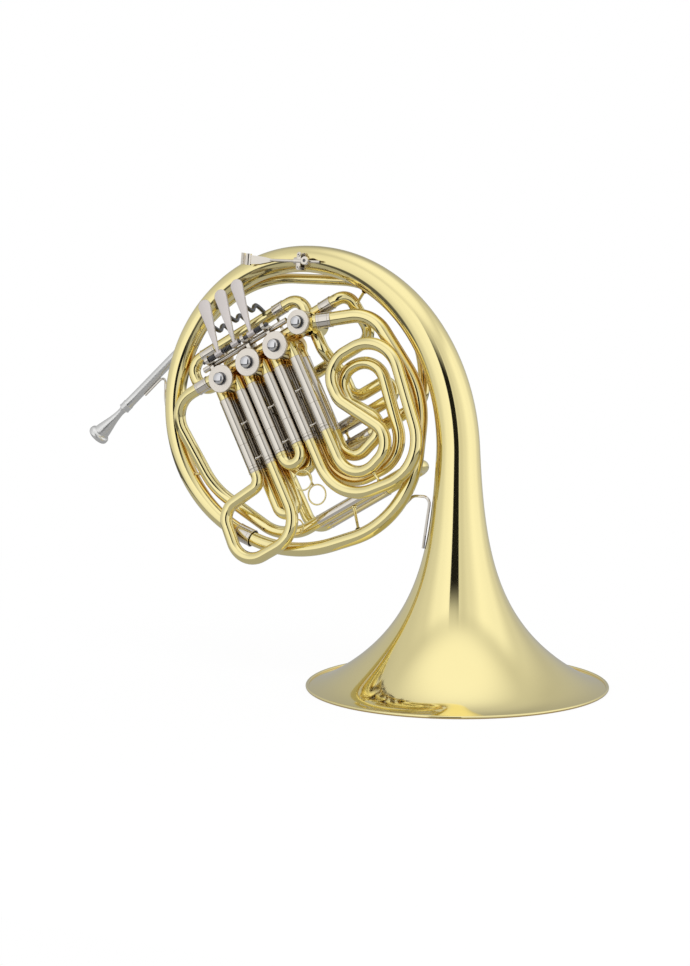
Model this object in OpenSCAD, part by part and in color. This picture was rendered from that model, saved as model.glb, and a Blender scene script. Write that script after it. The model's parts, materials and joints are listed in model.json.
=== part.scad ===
// Double french horn standing on its bell. Millimetres, +Z up, origin at the centre of the bell rim.
// The coil is drawn in its own frame: x along the valve row, y into the depth, z across the row.

/* [Bell] */
// Diameter over the bell rim
bell_rim_d = 310; // [300:1:312]
// Radius that the flare closes in on at the throat
bell_core_r = 19.1; // [18.6:0.1:19.6]
// Length over which the flare falls to a third
flare_len = 65.7; // [63:0.1:68]
// Extra radius of the rolled edge
lip_r = 9.4; // [8:0.1:10.5]
// Height over which the rolled edge dies out
lip_len = 3.5; // [3:0.1:5]
// Height of the bell up to its branch
bell_h = 240; // [238:1:242]
// Sheet thickness of the bell flare
sheet_t = 0.9; // [0.7:0.05:1]
// Wire diameter in the bell rim
rim_wire_d = 3.4; // [3:0.1:3.8]

/* [Coil placement] */
// Ring centre left of the bell axis
coil_x = -190; // [-192:1:-188]
// Ring centre in front of the bell axis
coil_y = -3; // [-4:0.5:-2]
// Height of the ring centre
coil_z = 282; // [281:1:283]
// Lean of the coil away from the viewer
coil_tilt = 9.5; // [9:0.1:10]
// Slope of the valve row in the coil plane
row_angle = 31.2; // [30.8:0.1:31.6]
// Centreline radius of the large ring
ring_r = 150; // [149:0.5:151]

/* [Tubing] */
// Outside diameter of the crooks and feed tubes
tube_d = 13; // [12.6:0.1:13.2]
// Wall of the crooks and feed tubes
tube_t = 0.6; // [0.5:0.1:0.8]
// Outside diameter of the first branch
branch_d = 14.8; // [14:0.1:15.2]
// Wall of the bell branch and the first branch
branch_t = 0.6; // [0.5:0.05:0.9]
// Outside diameter of a slide leg
leg_d = 12.2; // [11.8:0.1:12.3]
// Wall of a slide leg
leg_t = 0.5; // [0.4:0.1:0.7]
// Play between a slide leg and its sleeve, per side
slide_play = 0.2; // [0.15:0.05:0.3]
// Wall of an outer slide sleeve
sleeve_t = 0.5; // [0.4:0.1:0.6]
// Depth between the front and the rear tube layer
layer_gap = 17; // [16.5:0.1:17.5]

/* [Valves] */
// Distance between the first three valves
valve_pitch = 36.5; // [36:0.1:37]
// First valve along the row
valve_1_x = -55; // [-56:0.5:-54]
// Height of the first three valves in the coil frame
valve_z = 55; // [54.5:0.5:55.5]
// Change valve, step along the row from the third valve
change_dx = 35; // [34.5:0.5:35.5]
// Change valve, step across the row
change_dz = 8.4; // [8:0.2:9]
// Outside diameter of a valve casing
casing_d = 29.6; // [29:0.1:30]
// Bore of a valve casing
casing_bore = 25; // [24.6:0.1:25.2]
// How much smaller the change valve is across its casing
change_less = 3.6; // [3:0.1:4]
// Play between rotor and casing, per side
rotor_play = 0.3; // [0.2:0.05:0.4]
// Spindle diameter of a rotor
spindle_d = 6; // [5.6:0.1:6.4]
// Play of the spindles and pins, per side
pin_play = 0.3; // [0.25:0.05:0.35]
// Radius of the crank pin from the rotor axis
crank_r = 8.4; // [8.3:0.05:8.5]
// Offset of the two legs of a valve slide from the valve axis
leg_off = 10.8; // [10.6:0.1:10.9]

/* [Pull rings] */
// Diameter over a pull ring
ring_d = 18; // [16:0.5:19]
// Wire diameter of a pull ring
ring_wire = 1.7; // [1.5:0.1:2]

/* [Levers] */
// Height of the lever axle in the coil frame
axle_z = 79; // [78.5:0.5:79.5]
// Diameter of the lever axle
axle_d = 4; // [3.6:0.1:4.2]
// Distance between the finger levers
lever_pitch = 22; // [21.5:0.5:22.5]
// Length from axle to the end of a finger paddle
lever_len = 60; // [56:1:62]
// Width of a finger paddle
paddle_w = 15; // [13:0.5:16]
// Lean of the finger levers
lever_lean = 7; // [5:0.5:8]
// Wire diameter of the lever springs
spring_wire = 1; // [0.8:0.1:1.1]

/* [Mouthpiece] */
// Diameter over the mouthpiece rim
mouthpiece_d = 25; // [24:0.5:26]
// Length of the mouthpiece
mouthpiece_len = 66; // [64:1:68]
// Length of the receiver
receiver_len = 68; // [64:1:70]

/* [Hidden] */
$fn = 48;
tube_r = tube_d / 2;
rim_r = bell_rim_d / 2;
flare_gain = rim_r - bell_core_r - lip_r;
// Where the sheet ends inside the rim wire, and the flat that the bell stands on
edge_z = 0.5;
edge_lift = 0.8;
rim_flat = 0.15;
sleeve_bore = leg_d + 2 * slide_play;
sleeve_d = sleeve_bore + 2 * sleeve_t;
front_y = -18;
rear_y = front_y + layer_gap;
casing_y0 = -28;
casing_y1 = 9;
plate_t = 2.5;
cap_t = 3.5;
windway_d = 10.6;
recess_h = 2.4;
valve_3_x = valve_1_x + 2 * valve_pitch;
valve_x = [valve_1_x, valve_1_x + valve_pitch, valve_3_x, valve_3_x + change_dx];
valve_zs = [valve_z, valve_z, valve_z, valve_z + change_dz];
casing_ds = [casing_d, casing_d, casing_d, casing_d - change_less];
casing_bores = [casing_bore, casing_bore, casing_bore, casing_bore - change_less];
crank_y = casing_y1 + plate_t + 0.4;
crank_t = 2.5;
// Side of the row on which each crank pin sits, and whether it starts above or below the axis
crank_side = [1, -1, -1, -1];
crank_up = [1, 1, 1, -1];
pin_d = 3;
link_y = 17.2;
link_t = 2.6;
axle_y = -32;
lever_x = [valve_1_x + 11, valve_1_x + 11 + lever_pitch, valve_1_x + 11 + 2 * lever_pitch];
arm_y = 16;
// Heights of a lever arm above the axle: where it leaves the paddle, and at its pin
arm_top = 31;
arm_rise = 22;
arm_t = 2.8;
// Room that the arm leaves above the row tube at rest
arm_lift = 9.3;
thumb_drop = 6;
// How far a link shifts along its crank pin
link_shift = 4;
paddle_foot = 4.4;
thumb_y = -24;
thumb_z = axle_z - 4.7;
thumb_d = 6;
thumb_arm_x = valve_x[3] - 16.5;
post_x = [valve_1_x - 5, valve_1_x + 43.5, valve_1_x + 71];
post_t = 4;
feed_z = valve_z + 8;
row_z = axle_z + 18;
sleeve_top = valve_z - 19;
sleeve_bot = -45.5;
collar_h = 4;
crook_z = sleeve_bot - 0.4 - collar_h;
leg_top = sleeve_top - 12;
main_z = [-64, -43];
main_y = 21;
main_x = [22, 56];
tune_z = -120;
tune_y = [16, 38];
tune_x = [-36, 40];
pipe_y = 21;
hook_y = -18.2;
// Outside radius of the curled finger rest of the hook
curl_r = 7.2;

function uv(u, w, v) = [u * cos(row_angle) + v * sin(row_angle), w, v * cos(row_angle) - u * sin(row_angle)];
function unit(v) = v / norm(v);
function flare(z) = bell_core_r + flare_gain * exp(-z / flare_len) + lip_r * exp(-z / lip_len);
function arc_pts(p0, p1, p2, r, k) =
  let (u = unit(p0 - p1), v = unit(p2 - p1), t = acos(u * v), c = p1 + unit(u + v) * r / sin(t / 2))
  let (x = unit(p1 + u * r / tan(t / 2) - c), nn = unit(cross(v, u)), y = cross(nn, x))
  [for (j = [0:k]) c + r * (x * cos((180 - t) * j / k) + y * sin((180 - t) * j / k))];
function route(pts, radii, k = 6) =
  [pts[0], for (i = [1:len(pts) - 2]) each arc_pts(pts[i - 1], pts[i], pts[i + 1], radii[i - 1], k),
    pts[len(pts) - 1]];
function frames(p) =
  let (n = len(p), t = [for (i = [0:n - 1]) unit(p[min(i + 1, n - 1)] - p[max(i - 1, 0)])])
  [for (i = 0, x = unit(cross(t[0], [0.13, 0.29, 0.9])); i < n;
    i = i + 1, x = i < n ? unit(x - (x * t[i]) * t[i]) : x) [x, cross(t[i], x)]];
function ring_pts(p, f, r, s) =
  [for (i = [0:len(p) - 1]) for (j = [0:s - 1])
    p[i] + r[i] * (f[i][0] * cos(360 * j / s) + f[i][1] * sin(360 * j / s))];
function bezier(a, b, c, d, t) =
  a * pow(1 - t, 3) + b * 3 * t * pow(1 - t, 2) + c * 3 * t * t * (1 - t) + d * pow(t, 3);

// Hollow tube along a list of points with a radius for each point
module pipe(p, r, w, s = 12) {
  n = len(p);
  m = n * s;
  f = frames(p);
  pts = concat(ring_pts(p, f, r, s), ring_pts(p, f, [for (a = r) a - w], s));
  faces = concat(
    [for (i = [0:n - 2]) for (j = [0:s - 1])
      each [[i * s + j, i * s + (j + 1) % s, (i + 1) * s + (j + 1) % s],
        [i * s + j, (i + 1) * s + (j + 1) % s, (i + 1) * s + j]]],
    [for (i = [0:n - 2]) for (j = [0:s - 1])
      each [[m + i * s + (j + 1) % s, m + i * s + j, m + (i + 1) * s + (j + 1) % s],
        [m + (i + 1) * s + (j + 1) % s, m + i * s + j, m + (i + 1) * s + j]]],
    [for (j = [0:s - 1]) each [[(j + 1) % s, j, m + j], [(j + 1) % s, m + j, m + (j + 1) % s]]],
    [for (j = [0:s - 1])
      each [[m - s + j, m - s + (j + 1) % s, 2 * m - s + j],
        [2 * m - s + j, m - s + (j + 1) % s, 2 * m - s + (j + 1) % s]]]);
  polyhedron(pts, faces);
}

// Solid wire along a list of points
module wire(p, r, s = 8) {
  n = len(p);
  f = frames(p);
  pts = ring_pts(p, f, [for (a = p) r], s);
  faces = concat(
    [for (i = [0:n - 2]) for (j = [0:s - 1])
      each [[i * s + j, i * s + (j + 1) % s, (i + 1) * s + (j + 1) % s],
        [i * s + j, (i + 1) * s + (j + 1) % s, (i + 1) * s + j]]],
    [[for (j = [s - 1:-1:0]) j], [for (j = [0:s - 1]) (n - 1) * s + j]]);
  polyhedron(pts, faces);
}

module even_pipe(p, s = 12) {
  pipe(p, [for (a = p) tube_r], tube_t, s);
}

module coil() {
  translate([coil_x, coil_y, coil_z]) rotate([-coil_tilt, 0, 0]) rotate([0, -row_angle, 0]) children();
}

// Cylinders along the three axes of the coil frame
module along_x(x0, x1, y, z, d) {
  translate([x0, y, z]) rotate([0, 90, 0]) cylinder(d = d, h = x1 - x0);
}
module along_y(x, y0, y1, z, d) {
  translate([x, y0, z]) rotate([-90, 0, 0]) cylinder(d = d, h = y1 - y0);
}
module along_z(x, y, z0, z1, d) {
  translate([x, y, z0]) cylinder(d = d, h = z1 - z0);
}
module tube_x(x0, x1, y, z, d, t) {
  difference() {
    along_x(x0, x1, y, z, d);
    along_x(x0 - 1, x1 + 1, y, z, d - 2 * t);
  }
}
module tube_z(x, y, z0, z1, d, t) {
  difference() {
    along_z(x, y, z0, z1, d);
    along_z(x, y, z0 - 1, z1 + 1, d - 2 * t);
  }
}
module ring_face(d, t) {
  difference() {
    circle(d = d);
    circle(d = d - 2 * t);
  }
}
// A straight sleeve between two points
module sleeve_between(a, b, d, bore) {
  v = b - a;
  translate(a) rotate([0, acos(v[2] / norm(v)), atan2(v[1], v[0])]) difference() {
    cylinder(d = d, h = norm(v));
    translate([0, 0, -1]) cylinder(d = bore, h = norm(v) + 2);
  }
}
// A turned strut with a flared foot at each end
module strut(a, b, d, foot) {
  v = b - a;
  h = norm(v);
  e = min(2.5, h * 0.3);
  translate(a) rotate([0, acos(v[2] / h), atan2(v[1], v[0])]) rotate_extrude()
    polygon([[0, 0], [foot / 2, 0], [foot / 2, 0.3], [d / 2, e], [d / 2, h - e], [foot / 2, h - 0.3],
      [foot / 2, h], [0, h]]);
}

// A strut between the centres of two tubes, ending on their outsides
module brace(a, ra, b, rb, d, foot) {
  v = unit(b - a);
  strut(a + v * (ra + 0.05), b - v * (rb + 0.05), d, foot);
}

// Paths of the bent tubes
function from_bell(x, y, z) = uv(x - coil_x, (y - coil_y) * cos(coil_tilt) - (z - coil_z) * sin(coil_tilt),
  (y - coil_y) * sin(coil_tilt) + (z - coil_z) * cos(coil_tilt));
throat = from_bell(0, 0, bell_h);
throat_dir = uv(0, -sin(coil_tilt), cos(coil_tilt));
bend_pull = 0.5523 * ring_r * 1.27;
ring_a1 = 251.5;
// Point beside the large ring by angle, distance outside its centreline and depth
function ring_at(a, out = 0, w = 0) = uv((ring_r + out) * cos(a), w, (ring_r + out) * sin(a));
bell_curve = [for (i = [1:13])
  bezier(throat, throat + throat_dir * bend_pull, uv(bend_pull, 0, ring_r), ring_at(90), i / 14)];
bell_ring = [for (i = [0:17]) ring_at(90 + (ring_a1 - 90) * i / 18)];
joint_end = ring_at(ring_a1);
joint_dir = uv(-sin(ring_a1), 0, cos(ring_a1));
// The branch starts square on the bell and ends straight in its ferrule
bell_path = concat([throat + throat_dir * 0.05, throat + throat_dir * 3], bell_curve, bell_ring,
  [joint_end - joint_dir * 11, joint_end]);
throat_r = flare(bell_h - edge_lift);
bell_radii = concat([throat_r, throat_r - 0.1], [for (i = [1:13]) throat_r - (throat_r - 13.8) * i / 14],
  [for (i = [0:17]) i < 10 ? 13.8 - 3 * i / 10 : 10.8 - 2.6 * (i - 10) / 8], [8.3, 8.2]);
out_corner = uv(85.5, -5, 96.5);
change_axis = [valve_x[3], front_y, valve_zs[3]];
out_dir = unit(out_corner - change_axis);
out_start = change_axis + out_dir * (casing_ds[3] / 2 + 12);
first_path = route([out_start, out_corner, uv(ring_r, 0, 16), uv(ring_r - 4, 0, -112),
  joint_end + joint_dir * 60.5, joint_end + joint_dir], [38, 90, 100, 150], 5);
pipe_dir = uv(cos(45), 0, sin(45));
pipe_in = uv(-181, pipe_y, 29.9);
lead_path = route([pipe_in, uv(-80, pipe_y, 130.9), uv(138, pipe_y, 130.9), [122.5, main_y, main_z[0]],
  [main_x[1] + 0.1, main_y, main_z[0]]], [130, 107, 22], 7);
// The first feed tube runs down just inside the ring
feed_x = 20 - ring_r;
feed_1_x = valve_x[0] - 34.05;
feed_1_path = route([[feed_1_x, front_y, feed_z], [feed_x, front_y, feed_z], [feed_x, 4, -34],
  [feed_x + 40, tune_y[0], -106], [feed_x + 70, tune_y[0], tune_z], [tune_x[0] - 0.1, tune_y[0], tune_z]],
  [(feed_1_x - feed_x) * 0.73, 75, 40, 40], 5);
feed_f_z = valve_zs[3] + 9.5;
feed_f_x = valve_x[3] + 31.05;
feed_f_path = route([[feed_f_x, rear_y, feed_f_z], [feed_f_x + 6, rear_y, feed_f_z],
  [feed_f_x + 18, 5, feed_f_z], [100, 24, 26], [-58, 32, 26], [-58, tune_y[1], tune_z],
  [tune_x[0] - 0.1, tune_y[1], tune_z]], [12, 12, 16, 24, 18], 5);
riser_path = route([[88, main_y, main_z[1] + 20], [valve_x[3], main_y, main_z[1] + 20],
  [valve_x[3], main_y, 4], [valve_x[3], rear_y, 34], [valve_x[3], rear_y, 44]], [13, 14, 14], 5);
crook_1_path = let (a = valve_x[0] - leg_off, b = valve_x[0] + leg_off)
  route([[a, front_y, crook_z], [a, front_y, crook_z - 13], [-120, front_y, -67], [-124, front_y, -131],
    [b, front_y, -131], [b, front_y, crook_z]], [11, 20, 26, 32], 6);
crook_3_path = let (a = valve_x[2] - leg_off, b = valve_x[2] + leg_off)
  route([[a, front_y, crook_z], [a, front_y, -123], [115.5, front_y, -138.6], [136.5, front_y, 12],
    [54.5, front_y, 13], [55, front_y, -28], [98, front_y, -95], [b, front_y, -119], [b, front_y, crook_z]],
    [50, 46, 38, 27, 24, 22, 27], 6);
crook_3b_path = let (a = valve_x[2] - leg_off, b = valve_x[2] + leg_off)
  route([[a, rear_y, crook_z], [a, rear_y, -108], [91, rear_y, -111], [109, rear_y, 1], [56, rear_y, 1],
    [57, rear_y, -30], [88, rear_y, -72], [b, rear_y, -90], [b, rear_y, crook_z]],
    [38, 34, 26, 19, 16, 16, 18], 5);

// Bell and large branches

module bell_flare() {
  n = 30;
  zs = [for (i = [0:n]) edge_z + (bell_h - edge_lift - edge_z) * pow(i / n, 2.1)];
  outer = [for (z = zs) [flare(z), z + edge_lift]];
  inner = [for (i = [n:-1:0]) [flare(zs[i]) - sheet_t, zs[i] + edge_lift - (i == n ? 0 : sheet_t * 0.45)]];
  color([0.85, 0.68, 0.28]) rotate_extrude($fn = 96) polygon(concat(outer, inner));
}

module bell_rim() {
  r = rim_wire_d / 2;
  color([0.88, 0.84, 0.72]) rotate_extrude($fn = 96) difference() {
    translate([rim_r - r, r - rim_flat]) polygon([for (a = [0:15:345]) r * [cos(a), sin(a)]]);
    polygon(concat([for (z = [0.2:0.3:2.9]) [flare(z) + 0.15, z + edge_lift]],
      [[rim_r - 15, 3.7], [rim_r - 15, 0.55], [flare(0.2), 0.55]]));
    // The slot for the sheet opens inwards, and the wire stands on a flat
    translate([rim_r - 11, -1]) square([8, 8]);
    translate([rim_r - 8, -8]) square([16, 8]);
  }
}

module bell_branch() {
  color([0.85, 0.68, 0.28]) coil() pipe(bell_path, bell_radii, branch_t, 20);
}

module first_branch() {
  color([0.85, 0.68, 0.28]) coil() pipe(first_path, [for (a = first_path) branch_d / 2], branch_t, 12);
}

module branch_ferrules() {
  color([0.78, 0.77, 0.73]) coil() {
    sleeve_between(joint_end - joint_dir * 9, joint_end + joint_dir * 9.5, 18.6, 17.2);
    sleeve_between(out_start - out_dir * 9.5, out_start + out_dir * 6, branch_d + 1.6, branch_d + 0.2);
  }
}

// Leadpipe and mouthpiece

module leadpipe() {
  n = len(lead_path);
  radii = [for (i = [0:n - 1]) 4.6 + (tube_r - 4.6) * i / (n - 1)];
  color([0.85, 0.68, 0.28]) coil() pipe(lead_path, radii, tube_t, 12);
}

module mouthpiece_receiver() {
  color([0.8, 0.8, 0.78]) pipe_line() rotate_extrude() polygon([[3.4, 0.3], [5.2, 0.3], [5.6, 4], [5.6, 10],
    [5, 12], [5.8, receiver_len - 16], [7, receiver_len - 14], [7, receiver_len],
    [4.5 + pin_play, receiver_len], [3.9 - 0.12 + pin_play, receiver_len - 24]]);
}

// Frame with +z running from the leadpipe out to the mouthpiece
module pipe_line() {
  coil() translate(pipe_in) rotate([0, row_angle, 0]) rotate([0, -135, 0]) children();
}

module mouthpiece() {
  m = mouthpiece_len;
  r = mouthpiece_d / 2;
  color([0.86, 0.86, 0.85]) pipe_line() translate([0, 0, receiver_len - 20]) rotate_extrude()
    polygon([[1.9, 0], [3.9, 0], [4.5, 20], [4.6, 26], [4.2, 32], [5.6, 44], [9.4, 54], [r - 1.6, m - 5],
      [r - 0.3, m - 2.5], [r - 0.2, m - 1], [r - 1.4, m], [r - 3.2, m], [r - 4.4, m - 2], [6.5, m - 14],
      [3, m - 24], [2.2, m - 32]]);
}

// Valve section

module valve_casings() {
  color([0.83, 0.66, 0.3]) coil() for (i = [0:3]) translate([valve_x[i], 0, valve_zs[i]]) difference() {
    along_y(0, casing_y0, casing_y1, 0, casing_ds[i]);
    along_y(0, casing_y0 - 1, casing_y1 + 1, 0, casing_bores[i]);
    for (y = [front_y, rear_y]) for (a = i < 3 ? [45, 135, 225, 315] : [0, 90, 180, 270])
      translate([0, y, 0]) rotate([0, -a, 0]) translate([9, 0, 0]) rotate([0, 90, 0])
        cylinder(d = windway_d, h = 10);
  }
}

module valve_caps() {
  h = cap_t - 1.4;
  color([0.92, 0.89, 0.85]) coil() for (i = [0:3])
    translate([valve_x[i], casing_y0 - 0.05, valve_zs[i]]) rotate([90, 0, 0]) difference() {
      r = casing_ds[i] / 2;
      rotate_extrude() polygon([[0, 0], [6, 0], [6, h], [r - 2.2, h], [r - 2.2, 0], [r - 0.4, 0],
        [r - 0.1, 0.5], [r - 0.1, cap_t - 0.6], [r - 0.7, cap_t], [0, cap_t]]);
      translate([0, 0, -1]) cylinder(d = spindle_d + 2 * pin_play, h = 3);
    }
}

module cap_domes() {
  color([0.75, 0.75, 0.76]) coil() for (i = [0:3])
    translate([valve_x[i], casing_y0 - 0.1 - cap_t, valve_zs[i]]) rotate([90, 0, 0]) rotate_extrude()
      polygon(concat([[0, 0], [6.6, 0]], [for (a = [0:10:90]) [6.6 * cos(a), 0.6 + 2.6 * sin(a)]]));
}

module rear_plates() {
  color([0.83, 0.66, 0.3]) coil() for (i = [0:3]) translate([valve_x[i], 0, valve_zs[i]]) difference() {
    along_y(0, casing_y1 + 0.05, casing_y1 + plate_t, 0, casing_ds[i] - 0.2);
    along_y(0, casing_y1 - 1, casing_y1 + plate_t + 1, 0, spindle_d + 2 * pin_play);
  }
}

// Rotor with two windways in each tube layer and a recess in both ends
module rotor(i) {
  turn = i < 3 ? 0 : 45;
  color([0.72, 0.6, 0.38]) coil() translate([valve_x[i], 0, valve_zs[i]]) difference() {
    union() {
      along_y(0, casing_y0 + 0.8, casing_y1 - 0.8, 0, casing_bores[i] - 2 * rotor_play);
      along_y(0, casing_y0 - 1.6, casing_y1, 0, spindle_d);
      along_y(0, casing_y1 - 1, crank_y + crank_t + 0.4, 0, spindle_d);
    }
    for (y = [front_y, rear_y]) for (a = [0, 180]) translate([0, y, 0]) rotate([0, turn + a, 0])
      translate([0, 0, 22]) rotate([90, 0, 0]) rotate_extrude() translate([15.4, 0]) circle(d = windway_d);
    for (y = [casing_y0 + 0.8 - 1, casing_y1 - 0.8 - recess_h]) translate([0, y, 0]) rotate([-90, 0, 0])
      rotate_extrude() translate([4.5, 0]) square([casing_bores[i] / 2 - 6.8, recess_h + 1]);
  }
}
module rotor_1() { rotor(0); }
module rotor_2() { rotor(1); }
module rotor_3() { rotor(2); }
module rotor_4() { rotor(3); }

// Crank plate on the rear spindle, with the link pin and the stop finger
module crank(i) {
  a = atan2(crank_up[i], crank_side[i]);
  color([0.8, 0.79, 0.76]) coil() translate([valve_x[i], 0, valve_zs[i]]) rotate([0, -a, 0]) difference() {
    union() {
      along_y(0, crank_y, crank_y + crank_t, 0, 11);
      translate([-10, crank_y, -2]) cube([10 + crank_r, crank_t, 4]);
      along_y(crank_r, crank_y, crank_y + crank_t, 0, 5);
      along_y(crank_r, crank_y, link_y + link_t + link_shift + 1.6, 0, pin_d);
    }
    along_y(0, crank_y - 1, crank_y + crank_t + 1, 0, spindle_d + 0.1);
  }
}
module crank_1() { crank(0); }
module crank_2() { crank(1); }
module crank_3() { crank(2); }
module crank_4() { crank(3); }

module stop_corks() {
  dev = asin((2 + 2.3 + 0.35) / 9);
  color([0.25, 0.22, 0.2]) coil() for (i = [0:3]) {
    a0 = 180 + atan2(crank_up[i], crank_side[i]);
    s = crank_up[i] * crank_side[i];
    for (a = [a0 + s * dev, a0 - s * (90 + dev)]) translate([valve_x[i], 0, valve_zs[i]]) rotate([0, -a, 0])
      along_y(9, casing_y1 + plate_t + 0.05, crank_y + crank_t, 0, 4.6);
  }
}

// Short port tubes between the casings and the slides
module port_tubes() {
  color([0.85, 0.68, 0.28]) coil() for (y = [front_y, rear_y]) {
    for (i = [0:2]) for (s = [-1, 1]) difference() {
      along_z(valve_x[i] + s * leg_off, y, sleeve_top + 0.05, valve_z - 3, leg_d + 0.2);
      along_z(valve_x[i] + s * leg_off, y, sleeve_top - 1, valve_z - 5, leg_d - 1.4);
      along_y(valve_x[i], y - 10, y + 10, valve_z, casing_d + 0.1);
    }
    for (i = [0:2]) difference() {
      tube_x(valve_x[i] + 6, valve_x[i + 1] - 6, y, feed_z, tube_d - 0.6, tube_t);
      along_y(valve_x[i], y - 10, y + 10, valve_z, casing_d + 0.1);
      along_y(valve_x[i + 1], y - 10, y + 10, valve_zs[i + 1], casing_ds[i + 1] + 0.1);
    }
    difference() {
      tube_x(valve_x[0] - 34 + (y == rear_y ? 10 : 0), valve_x[0] - 6, y, feed_z, tube_d, tube_t);
      along_y(valve_x[0], y - 10, y + 10, valve_z, casing_d + 0.1);
    }
  }
}

module change_ports() {
  color([0.85, 0.68, 0.28]) coil() {
    difference() {
      tube_x(valve_x[3] + 7, valve_x[3] + 31, rear_y, feed_f_z, tube_d, tube_t);
      along_y(valve_x[3], rear_y - 10, rear_y + 10, valve_zs[3], casing_ds[3] + 0.1);
    }
    difference() {
      tube_z(valve_x[3], rear_y, 44.1, valve_zs[3] - 6, tube_d, tube_t);
      along_y(valve_x[3], rear_y - 10, rear_y + 10, valve_zs[3], casing_ds[3] + 0.1);
    }
    difference() {
      sleeve_between(change_axis + out_dir * 6, out_start - out_dir * 0.1, branch_d, branch_d - 2 * branch_t);
      along_y(valve_x[3], front_y - 10, front_y + 10, valve_zs[3], casing_ds[3] + 0.1);
    }
  }
}

// Feed tubes

// Quarter bend in the plane of the coil, from the direction a to a + 90
module quarter(x, y, z, r, a) {
  translate([x, y, z]) rotate([90, 0, 0]) rotate([0, 0, a]) rotate_extrude(angle = 90) translate([r, 0])
    ring_face(tube_d, tube_t);
}

module row_tube() {
  r = 15;
  xl = valve_x[0] - 42;
  color([0.85, 0.68, 0.28]) coil() {
    difference() {
      tube_z(valve_x[3], rear_y, valve_zs[3] + 6, row_z - r, tube_d, tube_t);
      along_y(valve_x[3], rear_y - 10, rear_y + 10, valve_zs[3], casing_ds[3] + 0.1);
    }
    quarter(valve_x[3] - r, rear_y, row_z - r, r, 0);
    tube_x(xl + r, valve_x[3] - r, rear_y, row_z, tube_d, tube_t);
    quarter(xl + r, rear_y, row_z - r, r, 90);
    tube_z(xl, rear_y, feed_z + r, row_z - r, tube_d, tube_t);
    quarter(xl + r, rear_y, feed_z + r, r, 180);
    tube_x(xl + r, valve_x[0] - 24.1, rear_y, feed_z, tube_d, tube_t);
  }
}

module feed_tube_1() {
  color([0.85, 0.68, 0.28]) coil() even_pipe(feed_1_path, 12);
}

module feed_tube_f() {
  color([0.85, 0.68, 0.28]) coil() even_pipe(feed_f_path, 10);
}

module riser_tube() {
  color([0.85, 0.68, 0.28]) coil() even_pipe(riser_path, 10);
}

module return_bend() {
  z = main_z[1];
  color([0.85, 0.68, 0.28]) coil() {
    tube_x(main_x[1] + 0.05, 88, main_y, z, tube_d, tube_t);
    translate([88, main_y, z + 10]) rotate([90, 0, 0]) rotate([0, 0, -90])
      rotate_extrude(angle = 180) translate([10, 0]) ring_face(tube_d, tube_t);
  }
}

module tube_ferrules() {
  d = tube_d + 1.4;
  b = tube_d + 0.2;
  color([0.78, 0.77, 0.73]) coil() {
    tube_x(valve_x[0] - 36, valve_x[0] - 21, front_y, feed_z, d, (d - b) / 2);
    tube_x(valve_x[3] + 17, valve_x[3] + 31, rear_y, feed_f_z, d, (d - b) / 2);
    tube_x(valve_x[3] - 34, valve_x[3] - 21, rear_y, row_z, d, (d - b) / 2);
    tube_x(valve_x[0] - 24, valve_x[0] - 6, rear_y, row_z, d, (d - b) / 2);
  }
}

// Sleeves of the slides

module front_sleeves() {
  color([0.78, 0.77, 0.73]) coil() for (i = [0:2]) for (s = [-1, 1])
    tube_z(valve_x[i] + s * leg_off, front_y, sleeve_bot, sleeve_top, sleeve_d, sleeve_t);
}

module rear_sleeves() {
  color([0.78, 0.77, 0.73]) coil() for (i = [0:2]) for (s = [-1, 1])
    tube_z(valve_x[i] + s * leg_off, rear_y, sleeve_bot, sleeve_top, sleeve_d, sleeve_t);
}

module main_sleeves() {
  color([0.78, 0.77, 0.73]) coil() for (z = main_z)
    tube_x(main_x[0], main_x[1], main_y, z, sleeve_d, sleeve_t);
}

module tuning_sleeves() {
  color([0.78, 0.77, 0.73]) coil() for (y = tune_y)
    tube_x(tune_x[0], tune_x[1], y, tune_z, sleeve_d, sleeve_t);
}

// Slides

// Two plain legs with the collars that carry a crook
module slide_legs(i, y) {
  color([0.8, 0.79, 0.74]) coil() for (s = [-1, 1]) translate([valve_x[i] + s * leg_off, y, crook_z + 0.05])
    rotate_extrude() polygon([[leg_d / 2 - leg_t, 0], [tube_r + 0.6, 0], [tube_r + 0.6, collar_h],
      [leg_d / 2, collar_h], [leg_d / 2, leg_top - crook_z], [leg_d / 2 - leg_t, leg_top - crook_z]]);
}

// A short slide: legs, collars and a half-round bow in one piece, and its pull ring on a stem
module short_slide(i, y, reach, stem) {
  bow = -reach - leg_off - tube_r;
  color([0.85, 0.7, 0.32]) coil() translate([valve_x[i], y, crook_z]) {
    for (s = [-1, 1]) translate([s * leg_off, 0, 0]) rotate_extrude()
      polygon([[leg_d / 2 - leg_t, -reach], [tube_r, -reach], [tube_r, 0], [tube_r + 0.6, 0],
        [tube_r + 0.6, collar_h], [leg_d / 2, collar_h], [leg_d / 2, leg_top - crook_z],
        [leg_d / 2 - leg_t, leg_top - crook_z]]);
    translate([0, 0, -reach]) rotate([90, 0, 0]) rotate([0, 0, 180]) rotate_extrude(angle = 180)
      translate([leg_off, 0]) ring_face(tube_d, tube_t);
    translate([0, 0, bow - stem - 0.05]) cylinder(d = 3, h = stem);
    translate([0, 0, bow - stem - 0.15 - ring_d / 2]) rotate([90, 0, 0]) rotate_extrude()
      translate([(ring_d - ring_wire) / 2, 0]) circle(d = ring_wire);
  }
}

module f_slide_1() { slide_legs(0, front_y); }
module f_slide_3() { slide_legs(2, front_y); }
module b_slide_3() { slide_legs(2, rear_y); }
module f_slide_2() { short_slide(1, front_y, 2, 2); }
module b_slide_1() { short_slide(0, rear_y, 40, 1.5); }
module b_slide_2() { short_slide(1, rear_y, 8, 12); }

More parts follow.
